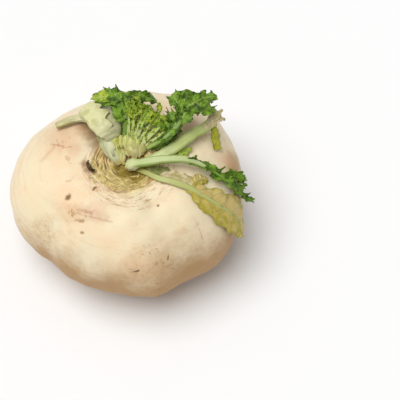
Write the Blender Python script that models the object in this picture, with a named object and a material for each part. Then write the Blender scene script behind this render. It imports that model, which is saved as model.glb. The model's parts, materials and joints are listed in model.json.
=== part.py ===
"""A large, flat, pale turnip as pulled from the ground and trimmed, with the leaves that are left on its crown.

Run with blender --background --python part.py, or from Blender's text editor.  Metres, +Z up.  The origin is
the middle of the small flat spot that the turnip rests on, straight below the middle of its crown.
"""

import math
from collections import namedtuple

import bmesh
import bpy
from mathutils import Vector

MM = 0.001

# The root: a flattened ball, wider than it is tall.
ROOT_RADIUS = 89.6 * MM
ROOT_WAVES = (  # how the outline seen from above leaves the circle: waves per turn, cosine part, sine part
    (1, 3.2 * MM, 1.4 * MM),
    (2, 3.8 * MM, 0.6 * MM),
    (3, -2.8 * MM, 0.2 * MM),
)
EQUATOR_HEIGHT = 58 * MM
TOP_RISE = 63 * MM
BOTTOM_DROP = 59.7 * MM
FULLNESS = 2.25  # 2 is an ellipse in side view, more is squarer
PIT_DEPTH = 13 * MM
PIT_RADIUS = 27 * MM
FURROWS = (  # direction in degrees, depth as a share of the radius, half width in degrees
    (-139, 0.053, 14),
    (-57, 0.067, 13),
    (20, 0.020, 16),
    (75, 0.014, 13),
    (122, 0.022, 14),
)
FURROW_SHOULDER_DROP = 50 * MM
ROOT_SEGMENTS = 64
ROOT_RINGS = 44

# Leaves and stalks: closed lofts along a route.
STATIONS_PER_LEAF = 16
SIDES_PER_SECTION = 12
ROOT_MIDDLE = Vector((0, 0, 40 * MM))

COLOURS = {  # base colour, roughness
    "skin": ((0.86, 0.76, 0.58), 0.5),
    "pale_sheath": ((0.72, 0.70, 0.48), 0.5),
    "cut_stalk": ((0.52, 0.56, 0.24), 0.5),
    "fresh_stalk": ((0.55, 0.66, 0.26), 0.4),
    "green_blade": ((0.13, 0.25, 0.05), 0.5),
    "young_blade": ((0.30, 0.40, 0.08), 0.5),
    "wilted_blade": ((0.45, 0.38, 0.08), 0.5),
    "dry_scale": ((0.30, 0.20, 0.08), 0.8),
}

Leaf = namedtuple(
    "Leaf",
    "name finish route widths depths cup ruffle waves face",
    defaults=(0.0, 0.0, 0, None),
)
# route: points in mm that the middle line passes through, from the base outwards.
# widths, depths: (share of the length, mm), straight in between.
# cup: mm that the margins lie below the midrib.  ruffle: mm that they wave up and down.
# face: the direction that the upper side looks in, where it isn't straight out from the root's middle.
TO_SKY = (0.0, -0.35, 1.0)
LEAVES = (
    Leaf(
        "heart_stem", "fresh_stalk",
        ((8.2, 0, 113), (8.7, 2, 114.5), (9.4, 4, 116.2), (10.2, 6, 118.4)),
        ((0, 9), (0.4, 12), (1, 7)), ((0, 7), (0.4, 9), (1, 6)),
    ),
    Leaf(
        "leaf_base_left", "pale_sheath",
        (
            (-3.5, -2, 111.8), (-6, 4, 114), (-8, 12, 118.5), (-12, 20, 123), (-18.5, 30, 124),
            (-27, 43, 119.5),
        ),
        ((0, 7), (0.2, 10), (0.4, 18), (0.62, 26), (0.85, 23), (1, 15)), ((0, 4), (0.4, 2.6), (1, 2.2)),
        cup=4.0, face=(0.2, 0.15, 1.0),
    ),
    Leaf(
        "stalk_left", "cut_stalk",
        ((-28, 33, 116.2), (-33, 34, 115.8), (-39, 34, 114.4), (-46, 32.5, 112.6), (-53, 30, 110.6)),
        ((0, 8), (0.6, 9), (1, 7.5)), ((0, 4.4), (0.6, 5), (1, 4.6)),
    ),
    Leaf(
        "leaf_back_left", "green_blade",
        (
            (0.4, 2, 112.6), (0.6, 8, 115.5), (1.6, 15, 120.5), (2, 22, 127), (1, 30, 132), (-1.5, 40, 135.5),
            (-4, 50, 135),
        ),
        ((0, 4), (0.45, 5), (0.62, 26), (0.8, 44), (0.93, 30), (1, 8)), ((0, 3.5), (0.5, 2.5), (1, 1.6)),
        cup=3.0, ruffle=2.5, waves=3, face=TO_SKY,
    ),
    Leaf(
        "leaf_heart_left", "young_blade",
        ((6.5, 10, 119.2), (7.5, 17, 127), (9, 25, 133), (13, 35, 137.5)),
        ((0, 4), (0.3, 5.5), (0.7, 13), (1, 5)), ((0, 3.5), (0.4, 2.2), (1, 1.6)),
        ruffle=1.5, waves=3, face=TO_SKY,
    ),
    Leaf(
        "leaf_heart_centre", "young_blade",
        ((12.2, 9.4, 119.4), (16.5, 14.6, 125.4), (21.5, 21, 129.4), (27.5, 28.5, 131.4)),
        ((0, 4), (0.3, 5.5), (0.7, 13), (1, 6)), ((0, 3.5), (0.4, 2.2), (1, 1.6)),
        ruffle=1.2, waves=3, face=TO_SKY,
    ),
    Leaf(
        "leaf_heart_right", "young_blade",
        ((17, 7, 119.2), (25, 9.5, 124.5), (32.5, 15, 127.5), (39, 22, 128)),
        ((0, 4), (0.3, 5.5), (0.7, 12), (1, 6)), ((0, 3.5), (0.4, 2.2), (1, 1.6)),
        ruffle=1.2, waves=3, face=TO_SKY,
    ),
    Leaf(
        "leaf_back_right", "green_blade",
        ((18.5, 2, 122.6), (30, 5.5, 129.5), (41, 15, 134), (49, 28, 136.5), (55, 41, 137)),
        ((0, 4), (0.45, 5.5), (0.6, 18), (0.8, 34), (0.93, 32), (1, 14)), ((0, 3.5), (0.5, 2.4), (1, 1.6)),
        cup=3.0, ruffle=2.5, waves=3, face=TO_SKY,
    ),
    Leaf(
        "blade_right", "green_blade",
        ((21.5, 3.4, 118.2), (28.5, 6.6, 121), (36, 11.5, 122.8), (44, 18, 123.2)),
        ((0, 3), (0.5, 6), (1, 4)), ((0, 2), (1, 1.4)),
    ),
    Leaf(
        "stalk_right", "cut_stalk",
        (
            (17, -3.6, 115), (27, -1.8, 118.2), (37, 3, 119.8), (45, 9.5, 120), (53, 17.5, 118.8),
            (62, 25.5, 115.8), (68, 31.5, 116), (73, 37, 119),
        ),
        ((0, 5), (0.3, 9), (0.8, 8), (1, 9)), ((0, 4), (0.3, 5.5), (0.9, 5), (1, 3.5)),
    ),
    Leaf(
        "strap_right", "wilted_blade",
        ((69.5, 28.5, 110.8), (70, 25, 108.8), (70.5, 20.5, 106), (72.5, 14, 102.8)),
        ((0, 6), (0.5, 8), (1, 8)), ((0, 1.6), (1, 1.4)),
        face=(0.6, -0.4, 0.6),
    ),
    Leaf(
        "leaf_side_right", "young_blade",
        ((36, -4.2, 116.8), (42, -1.4, 117), (47, 2, 116.8), (51.5, 7, 115)),
        ((0, 3), (0.5, 5), (1, 3)), ((0, 2), (1, 1.4)),
    ),
    Leaf(
        "leaf_front", "fresh_stalk",
        (
            (2.5, -8, 113.3), (9, -9, 117.6), (17, -10, 121.8), (27, -10, 125), (37, -9.5, 125.5), (47, -9, 124),
            (56, -9.5, 119.2), (64, -10.5, 113.6), (72, -12, 106.6), (80, -13.5, 98), (87, -14.5, 87.6),
            (93, -14.5, 76.5), (99, -14, 68.5),
        ),
        ((0, 9), (0.06, 11), (0.14, 8.5), (0.45, 7), (0.52, 11), (0.62, 15), (0.85, 12), (1, 5)),
        ((0, 8), (0.06, 10), (0.14, 7), (0.45, 5), (0.55, 2.4), (1, 1.6)),
    ),
    Leaf(
        "leaf_wilted", "wilted_blade",
        (
            (16.5, -14.5, 115.4), (27, -21, 117.4), (38, -24, 116.6), (49, -26.5, 113.2), (57, -29, 109),
            (65, -31.5, 103.6), (73, -33, 96.4), (80, -33.5, 88), (86.5, -35, 77.6), (91, -39.5, 63),
        ),
        ((0, 4), (0.33, 5.5), (0.46, 18), (0.6, 27), (0.76, 29), (0.9, 17), (1, 3)),
        ((0, 3.5), (0.36, 3), (0.5, 1.8), (1, 1.4)),
        cup=1.4,
    ),
    Leaf(
        "dry_scale_left", "dry_scale",
        ((-19, -10, 114.4), (-22.5, -9, 116.4), (-26, -10.5, 118), (-28.5, -14, 118)),
        ((0, 7), (0.6, 6), (1, 3)), ((0, 1.6), (1, 1.2)),
    ),
    Leaf(
        "dry_scale_back", "dry_scale",
        ((0.5, 21, 114.2), (2, 25, 117), (3, 29.5, 118.6), (3, 34, 118.4)),
        ((0, 5), (0.5, 7), (1, 4)), ((0, 1.6), (1, 1.2)),
    ),
)


def clear_scene():
    for item in list(bpy.context.scene.objects):
        bpy.data.objects.remove(item, do_unlink=True)


def make_material(name):
    colour, roughness = COLOURS[name]
    material = bpy.data.materials.new(name)
    material.use_nodes = True
    shader = material.node_tree.nodes["Principled BSDF"]
    shader.inputs["Base Color"].default_value = (*colour, 1)
    shader.inputs["Roughness"].default_value = roughness
    shader.inputs["Metallic"].default_value = 0
    return material


def add_node(name, bm, finish, collection):
    """The closed mesh in bm becomes the object of this name, shaded smooth."""
    bmesh.ops.recalc_face_normals(bm, faces=bm.faces)
    mesh = bpy.data.meshes.new(name)
    bm.to_mesh(mesh)
    bm.free()
    mesh.shade_smooth()
    mesh.materials.append(bpy.data.materials.get(finish) or make_material(finish))
    node = bpy.data.objects.new(name, mesh)
    collection.objects.link(node)
    return node


def outline_radius(azimuth):
    """The root's radius at its equator, before the furrows."""
    radius = ROOT_RADIUS
    for turns, cosine, sine in ROOT_WAVES:
        radius += cosine * math.cos(turns * azimuth) + sine * math.sin(turns * azimuth)
    return radius


def furrow_share(azimuth):
    """How deep the furrows cut in this direction, as a share of the radius."""
    share = 0.0
    for direction, depth, half_width in FURROWS:
        away = (math.degrees(azimuth) - direction + 180) % 360 - 180
        share += depth * math.exp(-((away / half_width) ** 2))
    return share


def root_point(azimuth, latitude):
    """A point of the root's skin."""
    out = abs(math.cos(latitude)) ** (2 / FULLNESS)
    rise = math.copysign(abs(math.sin(latitude)) ** (2 / FULLNESS), math.sin(latitude))
    share = furrow_share(azimuth)
    radius = outline_radius(azimuth) * out * (1 - share * abs(math.cos(latitude)) ** 0.6)
    height = EQUATOR_HEIGHT + (TOP_RISE if rise > 0 else BOTTOM_DROP) * rise
    if rise > 0:
        in_pit = math.exp(-((radius / PIT_RADIUS) ** 2))
        height -= share * FURROW_SHOULDER_DROP * math.sin(latitude) * (1 - in_pit)
        height -= PIT_DEPTH * in_pit
    return Vector((radius * math.cos(azimuth), radius * math.sin(azimuth), height))


def build_root(collection):
    """A sphere pulled into the turnip's shape, and planed off at the spot where it rests."""
    bm = bmesh.new()
    bmesh.ops.create_uvsphere(bm, u_segments=ROOT_SEGMENTS, v_segments=ROOT_RINGS, radius=1)
    for vert in bm.verts:
        latitude = math.asin(max(-1.0, min(1.0, vert.co.z)))
        vert.co = root_point(math.atan2(vert.co.y, vert.co.x), latitude)
    bmesh.ops.bisect_plane(
        bm, geom=bm.verts[:] + bm.edges[:] + bm.faces[:], dist=1e-6,
        plane_co=(0, 0, 0), plane_no=(0, 0, 1), clear_inner=True,
    )
    bmesh.ops.holes_fill(bm, edges=[edge for edge in bm.edges if edge.is_boundary])
    return add_node("root", bm, "skin", collection)


def between(stops, share):
    """The value at this share of the length, on straight runs between the stops."""
    for (start, low), (end, high) in zip(stops, stops[1:]):
        if share <= end:
            return low + (high - low) * (share - start) / (end - start)
    return stops[-1][1]


def route_point(route, share):
    """A point of the smooth curve through the route's points (Catmull-Rom)."""
    place = share * (len(route) - 1)
    index = min(int(place), len(route) - 2)
    t = place - index
    before = route[max(index - 1, 0)]
    start, end = route[index], route[index + 1]
    after = route[min(index + 2, len(route) - 1)]
    return 0.5 * (
        2 * start
        + (end - before) * t
        + (2 * before - 5 * start + 4 * end - after) * t**2
        + (3 * start - before - 3 * end + after) * t**3
    )


def build_leaf(leaf, collection):
    """A closed loft along the leaf's route, round at the stalk and flat in the blade."""
    route = [Vector(point) * MM for point in leaf.route]
    stations = max(STATIONS_PER_LEAF, 2 * len(route))
    step = 0.5 / stations
    bm = bmesh.new()
    rings = []
    for station in range(stations + 1):
        share = station / stations
        centre = route_point(route, share)
        along = route_point(route, min(share + step, 1)) - route_point(route, max(share - step, 0))
        along.normalize()
        up = Vector(leaf.face) if leaf.face else centre - ROOT_MIDDLE
        side = along.cross(up).normalized()
        up = side.cross(along)
        half_width = between(leaf.widths, share) * MM / 2
        half_depth = between(leaf.depths, share) * MM / 2
        blade = min(1.0, max(0.0, half_width / half_depth - 1) / 4)
        ring = []
        for corner in range(SIDES_PER_SECTION):
            angle = 2 * math.pi * corner / SIDES_PER_SECTION
            across = math.cos(angle)
            wave = math.sin(2 * math.pi * leaf.waves * share + (across > 0) * math.pi / 2)
            lift = half_depth * math.sin(angle)
            lift += blade * across**2 * (leaf.ruffle * wave - leaf.cup) * MM
            ring.append(bm.verts.new(centre + side * across * half_width + up * lift))
        rings.append(ring)
    for ring, following in zip(rings, rings[1:]):
        for corner in range(SIDES_PER_SECTION):
            beside = (corner + 1) % SIDES_PER_SECTION
            bm.faces.new((ring[corner], ring[beside], following[beside], following[corner]))
    bm.faces.new(rings[0])
    bm.faces.new(rings[-1])
    return add_node(leaf.name, bm, leaf.finish, collection)


def main():
    clear_scene()
    collection = bpy.data.collections.new("turnip")
    bpy.context.scene.collection.children.link(collection)
    build_root(collection)
    for leaf in LEAVES:
        build_leaf(leaf, collection)


main()
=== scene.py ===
"""The looks of the turnip, laid out as a Blender add-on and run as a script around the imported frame."""

import json
import math

import bmesh
import bpy
import numpy as np
from bpy.props import FloatProperty, FloatVectorProperty, PointerProperty
from bpy.types import Operator, Panel, PropertyGroup
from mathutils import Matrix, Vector
from mathutils.bvhtree import BVHTree


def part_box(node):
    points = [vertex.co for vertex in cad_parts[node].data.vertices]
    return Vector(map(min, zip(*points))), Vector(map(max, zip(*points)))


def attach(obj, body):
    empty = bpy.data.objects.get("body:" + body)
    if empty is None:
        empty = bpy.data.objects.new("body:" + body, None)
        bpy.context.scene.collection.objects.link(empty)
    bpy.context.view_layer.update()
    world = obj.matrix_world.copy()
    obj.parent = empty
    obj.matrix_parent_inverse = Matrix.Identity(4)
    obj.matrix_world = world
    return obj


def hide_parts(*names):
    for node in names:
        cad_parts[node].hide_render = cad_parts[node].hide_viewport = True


bl_info = {
    "name": "Turnip looks",
    "version": (1, 0, 0),
    "blender": (4, 5, 0),
    "location": "3D View > Sidebar > Turnip",
    "description": "Skin, crown, stalks and leaves of a large flat turnip, and the stage around it",
    "category": "Object",
}

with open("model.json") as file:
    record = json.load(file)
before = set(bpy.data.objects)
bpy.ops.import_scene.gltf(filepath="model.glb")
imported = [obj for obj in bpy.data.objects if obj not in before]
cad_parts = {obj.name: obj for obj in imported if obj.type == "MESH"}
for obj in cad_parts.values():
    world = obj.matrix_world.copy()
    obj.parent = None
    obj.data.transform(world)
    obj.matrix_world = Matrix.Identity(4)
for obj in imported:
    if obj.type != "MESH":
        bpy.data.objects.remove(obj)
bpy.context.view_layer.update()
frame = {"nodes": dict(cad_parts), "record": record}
MM = 0.001
# Points this near each other are merged.
WELD = 1e-6
# The ring of faces round a stalk's cut end, and the rounding of a shell's edge.
CAP_RIM = 0.0004
SHELL_EDGE = 0.0003
# Faces that meet at less than this angle are shaded smooth.
SMOOTH_UNDER = math.radians(50)
# Middle of the crown's rings, right and back of the crown's floor, in mm.
RING_MIDDLE = (4, -3)
# Waves that make up each smooth unevenness.
CROSSED_WAVES = 7


# ---------------------------------------------------------------- the frame


def tree_of(piece):
    """A search tree over a mesh piece whose object sits at the origin."""
    return BVHTree.FromPolygons(
        [vert.co.copy() for vert in piece.data.vertices],
        [tuple(face.vertices) for face in piece.data.polygons],
    )


def crown_floor():
    """The middle of the crown's floor: straight above the flat spot, on the root."""
    base = Vector(next(m["pos_m"] for m in frame["record"]["mounts"] if m["name"] == "base"))
    above = base + Vector((0, 0, 2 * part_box("root")[1].z))
    return tree_of(frame["nodes"]["root"]).ray_cast(above, Vector((0, 0, -1)))[0]


CROWN = crown_floor()
ROOT_LOW, ROOT_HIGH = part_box("root")
ROOT_CENTRE = (ROOT_LOW + ROOT_HIGH) / 2


# ---------------------------------------------------------------- settings


def colour(name, description, value):
    return FloatVectorProperty(
        name=name, description=description, subtype="COLOR", size=3, min=0, max=1, default=value
    )


def length(name, description, value):
    return FloatProperty(name=name, description=description, unit="LENGTH", default=value)


class TurnipSkinSettings(PropertyGroup):
    cream: colour("Cream", "Skin where it is clean", (0.87, 0.735, 0.495))
    peach: colour("Peach", "Warm blotches of the skin", (0.90, 0.61, 0.37))
    # Tan is laid partly as earth stain and partly as painted shade over the lower rim and the right flank.
    tan: colour("Tan", "Skin low down, where it lay in the earth", (0.46, 0.26, 0.095))
    # Scar brown also paints the shade in the gaps between the crown rings.
    scar: colour("Scar brown", "Scars, scratches and the gaps between crown rings", (0.15, 0.075, 0.022))
    rust: colour("Rust", "Reddish scratches and healed streaks", (0.50, 0.22, 0.12))
    ring: colour("Ring straw", "Crests of the crown rings", (0.80, 0.63, 0.24))
    olive: colour("Olive", "Stained flesh at the foot of the leaves", (0.36, 0.26, 0.012))
    ring_height: length("Ring height", "How far the crown rings stand up", 0.0013)
    crown_radius: length("Crown radius", "Radius of the scarred crown", 0.038)


class TurnipLeafSettings(PropertyGroup):
    thickness: length("Leaf thickness", "Thickness of a leaf blade", 0.0005)
    clearance: length("Clearance", "Gap between a leaf and the root under it", 0.0004)
    dark_green: colour("Dark green", "Grown leaves", (0.030, 0.080, 0.005))
    mid_green: colour("Mid green", "Lit folds of the grown leaves", (0.20, 0.36, 0.022))
    young_green: colour("Young green", "Heart leaves", (0.14, 0.24, 0.008))
    lime: colour("Lime", "Lit folds of the heart leaves", (0.50, 0.58, 0.045))
    rib: colour("Rib", "Leaf ribs", (0.44, 0.55, 0.12))
    stalk: colour("Stalk", "Fresh stalks", (0.30, 0.40, 0.055))
    stalk_pale: colour("Pale stalk", "Stalk bases and cut stalks", (0.68, 0.68, 0.38))
    blush: colour("Blush", "Swollen base of the front stalk", (0.80, 0.69, 0.48))
    sheath: colour("Sheath", "Broad leaf base", (0.56, 0.54, 0.29))
    wilted: colour("Wilted", "Yellowed leaf", (0.40, 0.35, 0.018))
    wilted_pale: colour("Pale wilted", "Thin places of the yellowed leaf", (0.64, 0.47, 0.13))
    # Dry is nearly black: the scales' own colour with painted shade of the hollows where they lie.
    dry: colour("Dry", "Dry scales and cut ends", (0.030, 0.018, 0.009))


class TurnipStageSettings(PropertyGroup):
    elevation: FloatProperty(
        name="Elevation", description="Camera height above the horizon",
        subtype="ANGLE", default=math.radians(60),
    )
    distance: length("Distance", "Camera to the point that it looks at", 0.889)
    aim_right: length("Aim right", "Point looked at, right of the root's middle", 0.0578)
    aim_front: length("Aim front", "Point looked at, in front of the root's middle", 0.0052)
    aim_down: length("Aim down", "Point looked at, below the root's middle", 0.0022)
    lens: FloatProperty(name="Lens", description="Focal length in mm", default=100)
    floor: colour("Floor", "Pale floor", (0.90, 0.90, 0.90))
    floor_size: length("Floor size", "Width of the floor", 60)
    key: FloatProperty(name="Key light", description="Strength of the large soft light", default=2.4)
    key_size: FloatProperty(
        name="Key size", description="How wide the large soft light looks",
        subtype="ANGLE", default=math.radians(46),
    )
    sky: FloatProperty(name="Sky", description="Strength of the even light all round", default=0.37)


# ---------------------------------------------------------------- shader sums


class Wire:
    """A shader socket that Python's operators do sums with."""

    def __init__(self, tree, socket):
        self.tree = tree
        self.socket = socket

    def sum(self, operation, *values):
        node = self.tree.nodes.new("ShaderNodeMath")
        node.operation = operation
        for place, value in enumerate(values):
            plug(self.tree, value, node.inputs[place])
        return Wire(self.tree, node.outputs[0])

    def __add__(self, other):
        return self.sum("ADD", self, other)

    def __radd__(self, other):
        return self.sum("ADD", other, self)

    def __sub__(self, other):
        return self.sum("SUBTRACT", self, other)

    def __rsub__(self, other):
        return self.sum("SUBTRACT", other, self)

    def __mul__(self, other):
        return self.sum("MULTIPLY", self, other)

    def __rmul__(self, other):
        return self.sum("MULTIPLY", other, self)

    def __abs__(self):
        return self.sum("ABSOLUTE", self)


def plug(tree, value, socket):
    """A wire is linked to the socket, and a plain value is set on it."""
    if isinstance(value, Wire):
        tree.links.new(value.socket, socket)
    elif socket.type == "RGBA" and len(value) == 3:
        socket.default_value = (*value, 1)
    else:
        socket.default_value = value


class Bench:
    """Where one material is put together."""

    def __init__(self, name):
        self.material = bpy.data.materials.new(name)
        self.material.use_nodes = True
        self.tree = self.material.node_tree
        self.shader = self.tree.nodes["Principled BSDF"]

    def node(self, kind, settings=None, output=0, **values):
        """A node of this kind. Its settings come first, then its sockets' values or wires by name."""
        node = self.tree.nodes.new(kind)
        for key, setting in (settings or {}).items():
            setattr(node, key, setting)
        for key, value in values.items():
            matching = [s for s in node.inputs if s.name == key.replace("_", " ") and s.enabled]
            plug(self.tree, value, matching[0])
        enabled = [s for s in node.outputs if s.enabled]
        found = node.outputs[output] if isinstance(output, str) else enabled[output]
        return Wire(self.tree, found)

    def millimetres(self):
        """The place on the piece, in mm."""
        place = self.node("ShaderNodeTexCoord", output="Object")
        return self.node(
            "ShaderNodeVectorMath", {"operation": "SCALE"}, Vector=place, Scale=1 / MM
        )

    def parts(self, vector):
        node = self.tree.nodes.new("ShaderNodeSeparateXYZ")
        plug(self.tree, vector, node.inputs[0])
        return [Wire(self.tree, out) for out in node.outputs]

    def map_parts(self):
        """Across and along the piece's own UV map, both 0 to 1."""
        return self.parts(self.node("ShaderNodeTexCoord", output="UV"))[:2]

    def vector(self, operation, first, second=(0, 0, 0), output=0):
        """Vector Math on two vectors."""
        node = self.tree.nodes.new("ShaderNodeVectorMath")
        node.operation = operation
        plug(self.tree, first, node.inputs[0])
        plug(self.tree, second, node.inputs[1])
        return Wire(self.tree, node.outputs[output])

    def scaled(self, vector, factors):
        return self.vector("MULTIPLY", vector, factors)

    def away(self, place, start, end):
        """Distance from the straight line between two points, in the place's own units."""
        run = Vector(end) - Vector(start)
        offset = self.vector("SUBTRACT", place, tuple(start))
        if run.length < WELD:
            return self.vector("LENGTH", offset, output=1)
        along = self.vector("DOT_PRODUCT", offset, tuple(run / run.length_squared), output=1)
        held = self.node("ShaderNodeClamp", Value=along, Min=0.0, Max=1.0)
        nearest = self.combined(X=held * run.x, Y=held * run.y, Z=held * run.z)
        return self.vector("DISTANCE", offset, nearest, output=1)

    def noise(self, vector, size, detail=3, rough=0.55, warp=0.0):
        """Noise from 0 to 1 whose blotches are about this size, in the vector's own units."""
        return self.node(
            "ShaderNodeTexNoise", output="Fac",
            Vector=vector, Scale=1 / size, Detail=detail, Roughness=rough, Distortion=warp,
        )

    def ramp(self, value, low, high):
        """0 below low and 1 above high, smooth in between."""
        return self.node(
            "ShaderNodeMapRange", {"interpolation_type": "SMOOTHSTEP"},
            Value=value, From_Min=low, From_Max=high, To_Min=0.0, To_Max=1.0,
        )

    def mix(self, first, second, factor):
        node = self.tree.nodes.new("ShaderNodeMix")
        node.data_type = "RGBA"
        plug(self.tree, factor, node.inputs[0])
        plug(self.tree, first, node.inputs[6])
        plug(self.tree, second, node.inputs[7])
        return Wire(self.tree, node.outputs[2])

    def layers(self, base, *coats):
        """Coats of colour on a base. Each coat is its colour and how much of it shows."""
        for shade, share in coats:
            base = self.mix(base, shade, share)
        return base

    def combined(self, **parts):
        """A vector from the parts X, Y and Z."""
        return self.node("ShaderNodeCombineXYZ", **parts)

    def attribute(self, name):
        return self.node("ShaderNodeAttribute", {"attribute_name": name}, output="Fac")

    def bump(self, height, depth, strength):
        """Relief from a height of 0 to 1, depth metres deep."""
        return self.node(
            "ShaderNodeBump", output="Normal", Strength=strength, Distance=depth, Height=height
        )

    def finish(self, base, roughness, normal=None, **constants):
        plug(self.tree, base, self.shader.inputs["Base Color"])
        plug(self.tree, roughness, self.shader.inputs["Roughness"])
        if normal is not None:
            plug(self.tree, normal, self.shader.inputs["Normal"])
        for key, value in constants.items():
            self.shader.inputs[key.replace("_", " ")].default_value = value
        return self.material


# ---------------------------------------------------------------- materials

# Small marks on the skin: two ends and a radius in mm from the crown, and how dark the mark is.
PITS = (
    ((-40, -32, 0), (-40.4, -32.4, 0), 2.5, 0.95), ((-21, -28, 5), (-20, -27, 5), 1.9, 0.8),
    ((-20, -21, 4), (-18, -23, 4), 1.0, 0.5), ((-35, -50, -4), (-29, -51, -3), 1.6, 0.6),
    ((-27, -47, -1), (-26, -48, 0), 1.1, 0.6), ((-37, -57, -10), (-38, -56, -10), 1.2, 0.55),
    ((-30, -58, -8), (-29, -58, -8), 1.4, 0.6), ((-20, -43, 1), (-18, -44, 1), 1.4, 0.55),
    ((-33, 5, 7), (-33, 5, 7), 1.2, 0.8), ((-41, -5, 6), (-39, -6, 6), 0.8, 0.3),
    ((27, -40, 1), (27, -40, 1), 1.1, 0.9), ((16, -59, -2), (16, -59, -2), 0.9, 0.5),
    ((6, -81, -27), (12, -81, -25), 1.1, 0.95), ((58, -66, -36), (63, -64, -33), 2.0, 0.9),
    ((2, -83, -38), (6, -83, -40), 0.9, 0.5), ((20, -80, -26), (27, -76, -22), 0.7, 0.45),
    ((34, -72, -24), (36, -68, -18), 1.0, 0.7), ((40, -70, -31), (44, -68, -33), 0.9, 0.6),
    ((-78, -10, -25), (-76, -14, -24), 1.6, 0.4), ((30, 62, -8), (36, 60, -8), 1.4, 0.5),
    ((-30, 70, -20), (-24, 72, -20), 1.5, 0.6), ((60, 44, -14), (62, 42, -14), 1.6, 0.5),
    ((-66, 34, -18), (-64, 36, -18), 1.4, 0.5), ((80, 24, -40), (80, 18, -44), 1.2, 0.6),
)
# Reddish scratches, in the same way.
SCRATCHES = (
    ((-56, 14, 2), (-46, 10, 5), 1.1, 0.55), ((-52, 17, 3), (-47, 4, 6), 0.9, 0.55),
    ((-49, 8, 5), (-40, 9, 6), 0.8, 0.5), ((-62, 0, 0), (-54, 10, 3), 2.2, 0.22),
    ((-52, -38, -2), (-24, -44, 2), 4.5, 0.20), ((-40, -41, 1), (-22, -47, 2), 1.8, 0.40),
    ((-34, -45, -1), (-6, -54, 1), 1.0, 0.40), ((-26, -44, 1), (-10, -50, 2), 2.4, 0.16),
    ((53, -44, -6), (57, -51, -12), 0.5, 0.55), ((57, -51, -12), (61, -58, -24), 0.5, 0.5),
    ((30, -24, 7), (40, -22, 5), 1.6, 0.5), ((28, -6, 6), (37, -6, 5), 2.2, 0.5),
    ((-15, 2, 2), (-11, 8, 2), 1.8, 0.45),
    ((-72, -20, -20), (-66, -34, -18), 2.6, 0.18), ((40, 50, 2), (52, 40, 2), 0.9, 0.35),
    ((0, 76, -20), (12, 78, -22), 1.0, 0.35),
)


def marks_on(bench, place, marks, ragged):
    """How much of the marks shows at a place: each one fades over its edge, made ragged by a noise."""
    total = 0.0
    for start, end, radius, dark in marks:
        away = bench.away(place, start, end) + (ragged - 0.5) * radius * 2.0
        total = bench.ramp(away, radius * 1.35, radius * 0.2) * dark + total
    return bench.node("ShaderNodeClamp", Value=total, Min=0.0, Max=1.0)


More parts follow.
